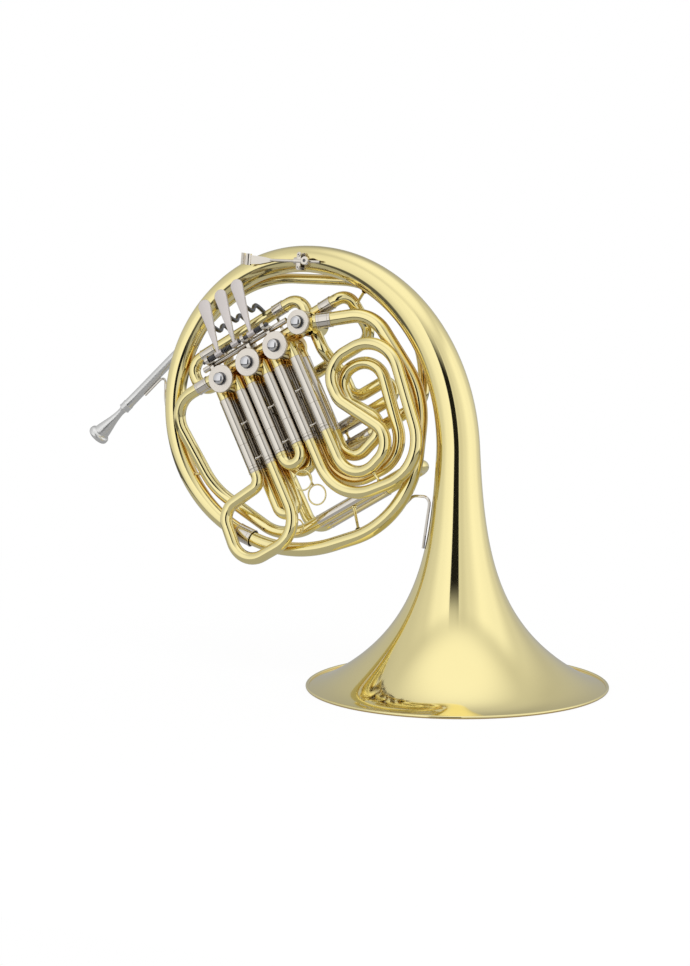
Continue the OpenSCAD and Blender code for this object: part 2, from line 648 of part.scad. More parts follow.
module f_crook_1() {
  color([0.85, 0.68, 0.28]) coil() even_pipe(crook_1_path, 12);
}
module f_crook_3() {
  color([0.85, 0.68, 0.28]) coil() even_pipe(crook_3_path, 12);
}
module b_crook_3() {
  color([0.85, 0.68, 0.28]) coil() even_pipe(crook_3b_path, 10);
}

// Bow of the main tuning slide, drawn out to the left
module main_slide() {
  h = (main_z[1] - main_z[0]) / 2;
  x = -8;
  color([0.85, 0.68, 0.28]) coil() {
    for (z = main_z) {
      tube_x(x, main_x[1] - 6, main_y, z, leg_d, leg_t);
    }
    translate([x, main_y, (main_z[0] + main_z[1]) / 2]) rotate([90, 0, 0]) rotate([0, 0, 90])
      rotate_extrude(angle = 180) translate([h, 0]) ring_face(leg_d, leg_t);
  }
}

// Bow of the tuning slide of the low side, drawn out to the right
module tuning_slide() {
  h = (tune_y[1] - tune_y[0]) / 2;
  x = 80;
  color([0.85, 0.68, 0.28]) coil() {
    for (y = tune_y) {
      tube_x(tune_x[0] + 6, x, y, tune_z, leg_d, leg_t);
    }
    translate([x, (tune_y[0] + tune_y[1]) / 2, tune_z]) rotate([0, 0, -90])
      rotate_extrude(angle = 180) translate([h, 0]) ring_face(leg_d, leg_t);
  }
}

// Finger levers and linkage

module lever_posts() {
  color([0.8, 0.79, 0.76]) coil() for (x = post_x) difference() {
    union() {
      along_x(x - post_t / 2, x + post_t / 2, axle_y, axle_z, 9);
      along_x(x - post_t / 2, x + post_t / 2, thumb_y, thumb_z, 10.6);
      translate([x - post_t / 2, thumb_y - 5, valve_z + 5]) cube([post_t, 12, thumb_z - valve_z - 5]);
      translate([x - post_t / 2, axle_y, thumb_z]) rotate([atan2(thumb_z - axle_z, thumb_y - axle_y), 0, 0])
        translate([0, 1.5, 0.4]) cube([post_t, norm([thumb_z - axle_z, thumb_y - axle_y]) - 2, 5.5]);
    }
    along_x(x - post_t, x + post_t, axle_y, axle_z, axle_d + 0.1);
    along_x(x - post_t, x + post_t, thumb_y, thumb_z, thumb_d + 2 * pin_play);
    for (i = [0:2]) along_y(valve_x[i], -60, 20, valve_z, casing_d + 0.1);
    along_x(x - post_t, x + post_t, front_y, feed_z, tube_d + 0.1);
  }
}

module lever_axle() {
  color([0.45, 0.45, 0.46]) coil() {
    along_x(post_x[0] - post_t / 2 - 4, post_x[2] + post_t / 2 + 3, axle_y, axle_z, axle_d);
  }
}

// Outline of a finger paddle, foot at the origin
module paddle(len, wide, foot) {
  d = len - wide / 2;
  b = asin((wide - foot) / 2 / d);
  // The sides end a little inside the two circles
  f = foot / 2 - 0.02;
  w = wide / 2 - 0.02;
  union() {
    circle(d = foot);
    translate([0, d]) circle(d = wide);
    polygon([[f * cos(b), -f * sin(b)], [w * cos(b), d - w * sin(b)], [-w * cos(b), d - w * sin(b)],
      [-f * cos(b), -f * sin(b)]]);
  }
}

// Curved strip through a list of points in the depth plane
function strip(p, h) = concat([for (a = p) a + [0, h / 2]], [for (i = [len(p) - 1:-1:0]) p[i] - [0, h / 2]]);
function wave(a, b, n, first = 1) =
  [for (i = [first:n]) let (t = i / n)
    [a[0] + (b[0] - a[0]) * t, a[1] + (b[1] - a[1]) * (0.5 - 0.5 * cos(180 * t))]];
// The arm leaves the back of the paddle, dips, and rises over the row tube to its pin
arm_start = [axle_y - 2.8, arm_top];
arm_dip = [axle_y + 13, arm_top - 5];
arm_hump = [rear_y - 5.5, row_z - axle_z + tube_r + arm_lift];
arm_line = concat(wave(arm_start, arm_dip, 6, 0), wave(arm_dip, arm_hump, 6),
  wave(arm_hump, [arm_y, arm_rise], 8));
arm_dx = arm_top * tan(lever_lean);
link_x = [for (i = [0:3]) valve_x[i] + crank_side[i] * crank_r * 0.854];

module lever(i) {
  x = lever_x[i];
  side = link_x[i] > x ? 1 : -1;
  color([0.8, 0.79, 0.76]) coil() translate([x, 0, axle_z]) difference() {
    union() {
      along_x(-4.5, 4.5, axle_y, 0, 8);
      translate([0, axle_y - 2.6, 0]) rotate([0, lever_lean, 0]) rotate([90, 0, 0]) translate([0, 0, -1.1])
        linear_extrude(height = 2.2) paddle(lever_len, paddle_w, paddle_foot);
      translate([arm_dx - 1.5, 0, 0]) rotate([90, 0, 90]) linear_extrude(height = 3)
        polygon(strip(arm_line, arm_t));
      along_x(arm_dx - 1.5, arm_dx + 1.5, arm_y, arm_rise, 5);
      along_x(side > 0 ? arm_dx - 1 : link_x[i] - x - 2.6, side > 0 ? link_x[i] - x + 2.6 : arm_dx + 1,
        arm_y, arm_rise, pin_d);
    }
    along_x(-20, 20, axle_y, 0, axle_d + 2 * pin_play);
  }
}
module lever_1() { lever(0); }
module lever_2() { lever(1); }
module lever_3() { lever(2); }

// Rod from a lever arm to its crank: round eye above, slotted eye below
module link(i, top_z) {
  x = link_x[i];
  zc = valve_zs[i] + crank_up[i] * crank_r * sin(45);
  w = 2 * crank_r * 0.146;
  sl = pin_d + 2 * pin_play + 0.8;
  color([0.75, 0.74, 0.71]) coil() difference() {
    union() {
      along_x(x - 1.3, x + 1.3, arm_y, top_z, 7.2);
      translate([x - 1.3, arm_y - 1.2, zc]) cube([2.6, 2.4, top_z - zc]);
      translate([x - 1.3, arm_y - 1.2, zc + 3]) cube([2.6, link_y + link_t - arm_y + 1.2, 3]);
      translate([x - w / 2 - 3.4, link_y, zc - 4]) cube([w + 6.8, link_t, 10]);
    }
    along_x(x - 5, x + 5, arm_y, top_z, pin_d + 2 * pin_play);
    translate([x - w / 2 - 2.1, link_y - 5, zc - sl / 2]) cube([w + 4.2, link_t + 6, sl]);
  }
}
module link_1() { link(0, axle_z + arm_rise); }
module link_2() { link(1, axle_z + arm_rise); }
module link_3() { link(2, axle_z + arm_rise); }
module link_4() { link(3, thumb_z - thumb_drop); }

// Torsion rod of the change valve with its thumb paddle at the back
module thumb_lever() {
  xl = valve_1_x - 15;
  xr = thumb_arm_x;
  color([0.8, 0.79, 0.76]) coil() {
    union() {
      along_x(xl - 2.5, xr + 2.3, thumb_y, thumb_z, thumb_d);
      translate([xr - 1.5, 0, thumb_z]) rotate([90, 0, 90]) linear_extrude(height = 3)
        polygon([[thumb_y, -1], [thumb_y, 2.4], [8, 2.4], [arm_y + 1.8, -thumb_drop + 2.6],
          [arm_y + 0.4, -thumb_drop - 2.4], [6, -0.8]]);
      along_x(xr - 1, link_x[3] + 2.6, arm_y, thumb_z - thumb_drop, pin_d);
      translate([xl - 1.5, 0, thumb_z]) rotate([90, 0, 90]) linear_extrude(height = 3)
        polygon([[thumb_y, -1], [thumb_y - 0.5, 2.4], [0, 5], [28, 8], [28, 26], [31, 26], [31, 4], [0, 1]]);
      translate([xl, 32.2, thumb_z + 10]) rotate([90, 0, 0]) linear_extrude(height = 2.2) paddle(26, 18, 10);
    }
  }
}

// Springs wound round the lever axle, each between a post and a lever hub or between two hubs
function coil_pts(x0, x1, turns, r) =
  let (n = turns * 8, d = spring_wire)
  concat([[x0, axle_y - r, axle_z - 2 * d]],
    [for (i = [0:n]) [x0 + (x1 - x0) * i / n, axle_y - r * cos(360 * i / 8), axle_z + r * sin(360 * i / 8)]],
    [[x1, axle_y - r, axle_z + 2 * d]]);
spring_r = axle_d / 2 + 0.35 + spring_wire / 2;
spring_spans = [[post_x[0] + post_t / 2 + 0.25 + spring_wire / 2, lever_x[0] - 4.5 - 0.35 - spring_wire / 2],
  [lever_x[0] + 4.5 + 0.35 + spring_wire / 2, lever_x[1] - 4.5 - 0.35 - spring_wire / 2],
  [lever_x[2] + 4.5 + 0.35 + spring_wire / 2, post_x[2] - post_t / 2 - 0.25 - spring_wire / 2]];
spring_gaps = [for (s = spring_spans) (s[1] - s[0]) / 6 - spring_wire];
echo(spring_gap = min(spring_gaps));

module lever_springs() {
  color([0.2, 0.2, 0.21]) coil() for (s = spring_spans)
    wire(coil_pts(s[0], s[1], 6, spring_r), spring_wire / 2, 6);
}

// Little finger hook

module hook_frame() {
  coil() translate(uv(0, 0, ring_r - 4.5)) rotate([0, row_angle, 0]) children();
}

module hook_saddle() {
  color([0.8, 0.79, 0.76]) hook_frame() difference() {
    union() {
      translate([-2.5, -16.4, -9]) cube([9, 3.2, 18]);
      along_x(-4, 9, hook_y - 0.6, 0, 8);
    }
    along_x(-10, 20, hook_y - 0.6, 0, 3.2 + 2 * pin_play);
    for (z = [-6.6, 6.6]) along_y(2, -18, -12, z, 2.2);
    translate([0, 0, 4.5]) along_x(-20, 20, 0, 0, 28.4);
  }
}

module hook_screws() {
  color([0.6, 0.6, 0.6]) hook_frame() for (z = [-6.6, 6.6]) translate([2, -16.45, z]) rotate([90, 0, 0])
    difference() {
      union() {
        cylinder(d = 4.6, h = 1.8);
        translate([0, 0, -1.8]) cylinder(d = 2, h = 2);
      }
      translate([-3, -0.35, 1.1]) cube([6, 0.7, 2]);
    }
}

module pinky_hook() {
  color([0.8, 0.79, 0.76]) hook_frame() union() {
    along_x(-34, 26, hook_y - 0.6, 0, 3.2);
    translate([0, hook_y + 0.4, 0]) rotate([90, 0, 0]) linear_extrude(height = 2.1)
      polygon([[-58.5, -5], [-46, -4.4], [-32, -1.4], [-32, 1.4], [-42, 3.2], [-58.5, 4.6]]);
    translate([-58, hook_y + 0.6 - curl_r, -6]) rotate([0, 0, 90]) rotate_extrude(angle = 125)
      translate([curl_r - 2.4, 0]) square([2.4, 12]);
  }
}

// Braces, rings and wires

module braces() {
  r = sleeve_d / 2;
  color([0.82, 0.68, 0.36]) coil() {
    low = first_path[17] * 0.32 + first_path[18] * 0.68;
    brace([low[0], tune_y[0], tune_z], r, low, branch_d / 2, 3, 6.4);
    for (i = [0:2]) for (z = [sleeve_bot + 9, sleeve_top - 32])
      brace([valve_x[i] - leg_off, front_y, z], r, [valve_x[i] + leg_off, front_y, z], r, 2, 4);
    for (i = [0, 1])
      brace([valve_x[i] + leg_off, front_y, 0], r, [valve_x[i] + leg_off, rear_y, 0], r, 2, 3.6);
    brace([30, main_y, main_z[0]], r, [30, main_y, main_z[1]], r, 2.4, 4.4);
    brace([-20, tune_y[0], tune_z], r, [-20, tune_y[1], tune_z], r, 2.4, 4.4);
  }
}

bell_wire_r = 1.5;
pipe_wire_r = 1.3;
// Points beside the left edge of the bell and along the underside of the receiver
function at_bell(z, gap) = let (r = flare(z - edge_lift) + gap) from_bell(-r * cos(28), -r * sin(28), z);
function by_pipe(s) = pipe_in - pipe_dir * s + uv(cos(45), 0, -sin(45)) * (5.6 + pipe_wire_r + 0.15);

module brace_wires() {
  color([0.75, 0.75, 0.74]) coil() {
    wire(route([uv(ring_r - 41.5, 9, -124.5), uv(ring_r - 7.3, 9, -87), uv(162.8, 9, -86.4),
      at_bell(157, bell_wire_r + 1.1), at_bell(143, bell_wire_r + 0.15)], [9, 8, 20], 5), bell_wire_r, 8);
    wire(route([by_pipe(38), by_pipe(4), ring_at(181.36, 19.05, 9), ring_at(191.78, 11.2, 4)], [7, 30], 5),
      pipe_wire_r, 8);
  }
}

bell_flare();
bell_rim();
bell_branch();
first_branch();
branch_ferrules();
leadpipe();
mouthpiece_receiver();
mouthpiece();
valve_casings();
valve_caps();
cap_domes();
rear_plates();
rotor_1();
rotor_2();
rotor_3();
rotor_4();
crank_1();
crank_2();
crank_3();
crank_4();
stop_corks();
port_tubes();
change_ports();
row_tube();
feed_tube_1();
feed_tube_f();
riser_tube();
return_bend();
tube_ferrules();
front_sleeves();
rear_sleeves();
main_sleeves();
tuning_sleeves();
f_slide_1();
f_slide_2();
f_slide_3();
b_slide_1();
b_slide_2();
b_slide_3();
f_crook_1();
f_crook_3();
b_crook_3();
main_slide();
tuning_slide();
lever_posts();
lever_axle();
lever_1();
lever_2();
lever_3();
link_1();
link_2();
link_3();
link_4();
thumb_lever();
lever_springs();
hook_saddle();
hook_screws();
pinky_hook();
braces();
brace_wires();
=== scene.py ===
"""Finish, smooth tubes and studio for a double french horn that stands on its bell."""

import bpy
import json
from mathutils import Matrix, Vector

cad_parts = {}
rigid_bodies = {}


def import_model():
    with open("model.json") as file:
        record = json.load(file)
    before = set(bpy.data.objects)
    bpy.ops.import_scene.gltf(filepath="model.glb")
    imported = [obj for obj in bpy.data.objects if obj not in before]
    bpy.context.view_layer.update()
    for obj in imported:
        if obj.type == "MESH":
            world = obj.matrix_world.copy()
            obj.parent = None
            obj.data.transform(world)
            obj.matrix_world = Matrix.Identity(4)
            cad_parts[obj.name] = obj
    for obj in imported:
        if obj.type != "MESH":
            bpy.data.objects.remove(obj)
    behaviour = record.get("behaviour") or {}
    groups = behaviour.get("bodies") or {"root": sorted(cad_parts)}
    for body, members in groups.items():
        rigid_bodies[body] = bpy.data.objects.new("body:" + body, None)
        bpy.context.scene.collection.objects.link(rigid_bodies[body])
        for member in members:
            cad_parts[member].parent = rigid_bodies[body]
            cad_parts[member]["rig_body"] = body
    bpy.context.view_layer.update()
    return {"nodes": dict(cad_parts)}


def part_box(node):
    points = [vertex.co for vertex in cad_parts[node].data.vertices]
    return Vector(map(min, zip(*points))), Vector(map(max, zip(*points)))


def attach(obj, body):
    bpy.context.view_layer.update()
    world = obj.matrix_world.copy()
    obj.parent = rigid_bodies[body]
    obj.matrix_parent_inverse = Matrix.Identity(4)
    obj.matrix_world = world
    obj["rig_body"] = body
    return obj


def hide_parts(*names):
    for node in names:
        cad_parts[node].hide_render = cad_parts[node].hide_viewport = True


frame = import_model()

import json
from collections import namedtuple
from math import asin, cos, exp, hypot, pi, radians, sin, tan

import bmesh
import bpy
from bpy.props import FloatProperty, FloatVectorProperty, PointerProperty
from mathutils import Matrix, Vector
from mathutils.geometry import interpolate_bezier

bl_info = {
    "name": "French Horn Finish",
    "version": (1, 0, 0),
    "blender": (4, 5, 0),
    "location": "View3D > Sidebar > Horn",
    "description": "Smooth tubes, metal finishes and a studio for a packed double french horn",
    "category": "Object",
}

# Sizes and places are millimetres in the coil frame: x runs along the valve row, y into the depth
# and z across the row. Only the studio is in metres.
MM = 0.001
WELD = 0.0005
SHARP = radians(38)
BODY = "horn_body"
ROW_ANGLE, COIL_TILT = radians(31.2), radians(9.5)
COIL_CENTRE = (-190, -3, 282)
COIL = (
    Matrix.Translation(COIL_CENTRE)
    @ Matrix.Rotation(-COIL_TILT, 4, "X")
    @ Matrix.Rotation(-ROW_ANGLE, 4, "Y")
)
TO_COIL = COIL.inverted()
UPRIGHT = Matrix.Identity(4)
TO_FRONT, TO_RIGHT = (0, -1, 0), (1, 0, 0)

# Bell and ring
RIM_LOW, RIM_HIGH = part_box("bell_rim")
EDGE_Z, EDGE_LIFT, RIM_FLAT = 0.5, 0.8, 0.15
SHEET_DROP = 0.45
BELL_STEPS, BELL_CROWDING, BELL_SIDES = 130, 2.1, 144
BEND_STEPS, RING_STEPS = 80, 110
BEZIER_ARC, BEND_PULL = 0.5523, 1.27
JOIN_SLOPE, JOIN_RUN = 0.022, 12
RING_END = radians(251.5)
RING_KNEE = 10 / 18
RING_TOP_R, RING_KNEE_R, RING_END_R = 13.8, 10.8, 8.2

# Valves
FRONT_Y, REAR_Y = -18, -1
VALVE_X = (-55, -18.5, 18, 53)
VALVE_Z = (55, 55, 55, 63.4)
CASING_FRONT = -28
CAP_T, CAP_EDGE = 3.5, 0.6
NECK_R, DOME_R, DOME_FOOT, DOME_RISE = 5.3, 6.1, 3.7, 2.6

# Tubes and slides
FEED_Z, ROW_Z = 63, 97
CHANGE_PORT_Z = VALVE_Z[3] + 9.5
SLEEVE_Z = (-45.5, 36)
SLEEVE_BEAD, FERRULE_BEAD = 0.22, 0.3
FIT, WALL = 0.1, 0.5
LEG_OFF, LEG_TOP = 10.8, 24
COLLAR_H, COLLAR_OVER, COLLAR_BEAD = 4, 0.35, 0.25
MAIN_X, MAIN_Y, MAIN_Z = (22, 56), 21, (-64, -43)
TUNE_X, TUNE_Y, TUNE_Z = (-36, 40), (16, 38), -120
MAIN_BOW_X, TUNE_BOW_X, LEG_INSET = -8, 80, 6
CROOK_Z = -49.9
# Valve, layer, height where the left leg ends, corners, height where the right leg ends, radii
CROOKS = {
    "f_crook_1": (0, FRONT_Y, CROOK_Z - 13, ((-120, -67), (-124, -131)), -131, (11, 20, 26, 32)),
    "f_crook_3": (
        2, FRONT_Y, -123, ((115.5, -138.6), (136.5, 12), (54.5, 13), (55, -28), (98, -95)), -119,
        (50, 46, 38, 27, 24, 22, 27)),
    "b_crook_3": (
        2, REAR_Y, -108, ((91, -111), (109, 1), (56, 1), (57, -30), (88, -72)), -90,
        (38, 34, 26, 19, 16, 16, 18)),
}
# Valve, layer, drop of the bow, stem of its pull ring, size of that ring
SHORT_SLIDES = {
    "f_slide_2": (1, FRONT_Y, 2, 2, "ring_d"),
    "b_slide_1": (0, REAR_Y, 40, 1.5, "low_ring_d"),
    "b_slide_2": (1, REAR_Y, 8, 12, "ring_d"),
}
LONG_SLIDES = {"f_slide_1": (0, FRONT_Y), "f_slide_3": (2, FRONT_Y), "b_slide_3": (2, REAR_Y)}

# Leadpipe and mouthpiece
PIPE_Y, PIPE_TOP, PIPE_R = 21, 130.9, 4.6
RECEIVER_L, PIPE_SLEEVE_L = 68, 26
MOUTHPIECE_L, SHANK_L = 66, 20

# Levers
AXLE_Y, AXLE_Z = -32, 79
LEVER_X = (-44, -22, 0)
LINK_X = (-47.83, -25.67, 10.83)
END_POST_X = (-60, 16)
LEVER_LEAN = radians(7)
HUB_HALF, HUB_R, HUB_BORE = 4.5, 3.7, 2.4
PADDLE_L, PADDLE_W, PADDLE_FOOT, PADDLE_T, PADDLE_FRONT = 60, 15, 2.8, 2.2, 2.6
ARM_Y, ARM_TOP, ARM_H, ARM_T, ARM_LIFT = 16, 31, 4, 3.4, 0.3
ARM_DX = ARM_TOP * tan(LEVER_LEAN)
ARM_KNOTS = (
    (AXLE_Y - 2.8, ARM_TOP), (AXLE_Y + 13, ARM_TOP - 5), (REAR_Y - 5.5, ROW_Z - AXLE_Z + 15.8),
    (ARM_Y, 22),
)
EYE_R, EYE_T, PIN_R, PIN_OVER = 2.5, 3.2, 1.5, 2.6
SPRING_R, SPRING_WIRE, SPRING_TURNS, SPRING_STEPS = 2.85, 0.5, 6, 24
POST_GAP, LEVER_GAP = 2.75, 5.35

# Clamp of the little finger hook, on the level and the upright of the ring
CLAMP_Y = -21.6
CLAMP_BAR, CLAMP_ARM, CLAMP_BOSS = (2, 145.5), (6, 146), (10, 146)
CLAMP_SCREW_V = (138.9, 152.1)
BAR_HALF, BAR_R = 7, 2.5
# Thickness and depth of the dark discs painted as shade in the holes
HOLE_T, HOLE_DEPTH = 0.2, 1.75

# Struts between tubes of the coil
COIL_STRUTS = (((123.3, -2.6, 64), (106.7, 7.2, 61)), ((-142.5, -4, -11), (-134, 2, -14)))
CROOK_STRUT = ((59.3, FRONT_Y, -114.6), (61.2, FRONT_Y, -124.6))

# Metals: patches and the painted recess shade are shares of the tint
Look = namedtuple(
    "Look", "material tint slot patches smoothest haziest recess coat metallic waves",
    defaults=((1, 1, 1), 0.0, 1.0, 0.0))
# Brass and nickel darken to their recess colours as painted shade; the other looks keep their tint
# there
BRASS = Look("brass_under_lacquer", "brass", "lacquered_brass", (0.98, 0.96, 0.90), 0.045, 0.075,
             recess=(0.75, 0.52, 0.28), coat=0.15)
NICKEL = Look("drawn_nickel", "nickel", "nickel_silver", (0.95, 0.94, 0.92), 0.06, 0.1,
              recess=(0.30, 0.26, 0.21))
SATIN = Look("satin_nickel", "satin", "nickel_silver", (0.96, 0.96, 0.97), 0.32, 0.40)
CAP = Look("turned_cap", "cap", "cap_silver", (0.97, 0.97, 0.97), 0.34, 0.42)
SILVER = Look("plated_silver", "silver", "silver_plate", (0.96, 0.96, 0.96), 0.28, 0.38)
CHROME = Look("mirror_chrome", "chrome", "polished_chrome", (0.98, 0.98, 0.98), 0.03, 0.05)
BRONZE = Look("oiled_bronze", "bronze", "rotor_bronze", (0.9, 0.88, 0.8), 0.2, 0.3)
# Dark steel is real on the axle and springs; on the lever arms, cap necks and hole discs it is
# painted shade and painted dark reflection
STEEL_AND_SHADE = Look("blued_steel", "steel", "dark_steel", (0.9, 0.9, 0.9), 0.26, 0.4)
RUBBER = Look("matt_rubber", "rubber", "stop_rubber", (0.7, 0.7, 0.7), 0.6, 0.8,
              metallic=0.0, waves=0.02)
COAT_ROUGHNESS = 0.03
TONE_NOISE, HAZE_NOISE, WAVE_NOISE = (9, 2), (45, 4), (160, 1)
HAZE_RANGE = (0.35, 0.75)
# Reach, samples and range of the painted shade in recesses
SHADE_REACH, SHADE_SAMPLES, SHADE_RANGE = 24, 8, (0.2, 0.62)

# Studio: levels of the walls by degrees round from the camera, fades by degrees of height
WALL_LEVELS = (
    (-180, 0.40), (-140, 0.54), (-112, 0.64), (-84, 0.72), (-54, 0.98), (-28, 1.05), (-11, 0.95),
    (14, 0.70), (34, 0.82), (66, 1.05), (96, 1.0), (124, 0.72), (150, 0.54), (180, 0.40),
)
WALL_FOOT, WALL_TOP, GAP_TOP = (-13, -7), (40, 62), (60, 26)
CEILING_LEAN, CEILING_CONE, CEILING_LEVELS = 0.1, (40, 10), (0.66, 1.04)
GAP_TURN, GAP_EDGE = 9, (1.08, 0.92)
GAP_LEVEL, LOW_LEVEL, LIGHT_LEVEL = 0.012, 0.10, 0.8
FLOOR_HALF, FLOOR_DROP = 0.9, 0.0003
FLOOR_GREY, FLOOR_SEEN, FLOOR_IN_METAL, FLOOR_GLOW = 0.86, 1.03, 0.4, 0.9
SOFTBOX_SIZE, SOFTBOX_WATTS, SOFTBOX_AT = 1.6, 6, (0.2, -0.6, 2.4)
PHOTO_HEIGHT_PX, RIM_WIDTH_PX = 966, 302


def length(name, text, default):
    """A size in metres that shows in the sidebar."""
    return FloatProperty(
        name=name, description=text, default=default, min=0.0, unit="LENGTH", precision=5)


def colour(name, text, default):
    """A linear colour that shows in the sidebar."""
    return FloatVectorProperty(
        name=name, description=text, default=default, size=3, min=0, max=1, subtype="COLOR")


def angle(name, text, degrees):
    """An angle that shows in the sidebar in degrees."""
    return FloatProperty(name=name, description=text, default=radians(degrees), subtype="ANGLE")


class HornSizes(bpy.types.PropertyGroup):
    """Driving sizes of the pieces that are modelled here"""

    rim_d: length("Bell rim", "Diameter over the bell rim", RIM_HIGH.x - RIM_LOW.x)
    core_r: length("Bell core", "Radius that the flare closes in on", 0.0191)
    flare_len: length("Flare length", "Height in which the flare falls to a third", 0.0657)
    lip_r: length("Lip", "Extra radius of the rolled edge", 0.0094)
    lip_len: length("Lip height", "Height over which the rolled edge dies out", 0.0035)
    bell_h: length("Bell height", "Height of the bell up to its branch", 0.240)
    sheet_t: length("Sheet", "Thickness of the bell sheet", 0.0009)
    rim_wire: length("Rim wire", "Wire diameter in the bell rim", 0.0034)
    ring_r: length("Ring", "Centreline radius of the large ring", 0.150)
    tube_d: length("Tube", "Outside diameter of crooks and feed tubes", 0.013)
    branch_d: length("First branch", "Outside diameter of the first branch", 0.0148)
    leg_d: length("Slide leg", "Outside diameter of a slide leg", 0.0122)
    sleeve_d: length("Sleeve", "Outside diameter of a slide sleeve", 0.0136)
    casing_d: length("Valve casing", "Outside diameter of a valve casing", 0.0296)
    change_less: length("Change valve", "How much smaller the change valve is", 0.0036)
    ring_d: length("Pull ring", "Diameter over a pull ring", 0.0225)
    low_ring_d: length("Low pull ring", "Diameter over the ring next to the first branch", 0.018)
    ring_wire: length("Pull ring wire", "Wire diameter of a pull ring", 0.0017)
    mouthpiece_d: length("Mouthpiece", "Diameter over the mouthpiece rim", 0.0236)


class HornFinish(bpy.types.PropertyGroup):
    """Colours of the metals"""

    brass: colour("Brass", "Lacquered yellow brass", (0.95, 0.845, 0.44))
    nickel: colour("Nickel silver", "Sleeves, ferrules and levers", (0.80, 0.755, 0.685))
    satin: colour("Satin nickel", "Finger paddles", (0.75, 0.70, 0.675))
    cap: colour("Valve caps", "Turned silver of the caps", (0.88, 0.82, 0.74))
    silver: colour("Silver plate", "Mouthpiece and receiver", (0.84, 0.84, 0.83))
    chrome: colour("Chrome", "Domes on the caps", (0.72, 0.72, 0.74))
    bronze: colour("Bronze", "Rotors", (0.55, 0.42, 0.22))
    # Dark steel is real on the axle and springs; on the lever arms it is a painted dark reflection
    steel: colour("Dark steel", "Axle, springs and lever arms", (0.16, 0.16, 0.17))
    rubber: colour("Rubber", "Stop corks", (0.03, 0.028, 0.026))


class HornStudio(bpy.types.PropertyGroup):
    """Camera and room"""

    distance: length("Distance", "From the camera to the centre of the bell rim", 3.0)
    azimuth: angle("Azimuth", "Camera direction round the horn, from the front to the right", 28)
    height: angle("Height", "Camera height above the bell rim", 11.9)
    pan: angle("Pan", "Turn of the camera away from the bell rim", -2.2374)
    tilt: angle("Tilt", "Lift of the camera above the bell rim", 3.974)
    slit: angle("Slit", "Half width of the dark gap between the front walls", 12.5)


def mm(name):
    """A driving size in millimetres."""
    return getattr(bpy.context.scene.horn_sizes, name) / MM


# Paths


def mixed(a, b, share):
    """The value a share of the way from a to b."""
    return a + (b - a) * share


def arc(start, sweep, steps):
    """Even angles over a sweep, with both ends."""
    return [start + sweep * i / steps for i in range(steps + 1)]


def circle(count):
    """Even angles once round."""
    return arc(0, 2 * pi, count)[:-1]


def uv(u, w, v):
    """Coil point from distances along the level and the upright of the ring."""
    c, s = cos(ROW_ANGLE), sin(ROW_ANGLE)
    return Vector((u * c + v * s, w, v * c - u * s))


def bell_axis(z):
    """Coil point on the bell's axis at a height."""
    return TO_COIL @ Vector((0, 0, z))


def runs_along(path):
    """How far along its path each point lies."""
    runs = [0.0]
    for a, b in zip(path, path[1:]):
        runs.append(runs[-1] + (b - a).length)
    return runs


def corner_arc(before, corner, after, radius, steps):
    """Points of the arc that rounds a corner."""
    to_before = (before - corner).normalized()
    to_after = (after - corner).normalized()
    half = to_before.angle(to_after) / 2
    centre = corner + (to_before + to_after).normalized() * radius / sin(half)
    start = (corner + to_before * radius / tan(half) - centre).normalized()
    side = to_after.cross(to_before).normalized().cross(start)
    turns = arc(0, pi - 2 * half, steps)
    return [centre + radius * (start * cos(a) + side * sin(a)) for a in turns]


def rounded(corners, radii, steps=14):
    """A path through its corners, with each inner corner rounded."""
    points = [Vector(p) for p in corners]
    path = [points[0]]
    for i, radius in enumerate(radii):
        path += corner_arc(*points[i:i + 3], radius, steps)
    return path + [points[-1]]


def flare(z):
    """Outer radius of the bell at a height above its rolled edge."""
    core, lip = mm("core_r"), mm("lip_r")
    gain = mm("rim_d") / 2 - core - lip
    return core + gain * exp(-z / mm("flare_len")) + lip * exp(-z / mm("lip_len"))


def casing_r(valve):
    """Outside radius of a valve casing; the last one, the change valve, is smaller."""
    return (mm("casing_d") - (mm("change_less") if valve == 3 else 0)) / 2


def ring_point(a):
    """Point of the large ring at an angle."""
    return uv(mm("ring_r") * cos(a), 0, mm("ring_r") * sin(a))


def ring_joint():
    """End of the large ring, and its direction there."""
    return ring_point(RING_END), uv(-sin(RING_END), 0, cos(RING_END))


def bell_branch_path():
    """Points and radii from the bell throat over the top and round the ring."""
    throat = bell_axis(mm("bell_h"))
    up = bell_axis(mm("bell_h") + 1) - throat
    ring_r = mm("ring_r")
    pull = BEZIER_ARC * ring_r * BEND_PULL
    knots = (throat, throat + up * pull, uv(pull, 0, ring_r), uv(0, 0, ring_r))
    path = interpolate_bezier(*knots, BEND_STEPS)
    throat_r = flare(mm("bell_h") - EDGE_LIFT)
    radii = []
    for i, run in enumerate(runs_along(path)):
        # The flare is steeper than the branch where they meet
        eased = JOIN_SLOPE * run * exp(-run / JOIN_RUN)
        radii.append(mixed(RING_TOP_R, throat_r, 1 - i / (BEND_STEPS - 1)) - eased)
    for i in range(1, RING_STEPS + 1):
        share = i / RING_STEPS
        path.append(ring_point(mixed(pi / 2, RING_END, share)))
        if share < RING_KNEE:
            radii.append(mixed(RING_TOP_R, RING_KNEE_R, share / RING_KNEE))
        else:
            radii.append(mixed(RING_KNEE_R, RING_END_R, (share - RING_KNEE) / (1 - RING_KNEE)))
    return path, radii


def first_branch_path():
    """Path from the change valve round the inside of the ring to the joint."""
    end, along = ring_joint()
    ring_r = mm("ring_r")
    bend = uv(85.5, -5, 96.5)
    axis = Vector((VALVE_X[3], FRONT_Y, VALVE_Z[3]))
    start = axis + (bend - axis).normalized() * (casing_r(3) + 12)
    corners = [start, bend, uv(ring_r, 0, 16), uv(ring_r - 4, 0, -112), end + along * 60.5,
               end + along]
    return rounded(corners, [38, 90, 100, 150], 24)


PIPE_IN = uv(-181, PIPE_Y, 29.9)
PIPE_OUT = -uv(1, 0, 1)


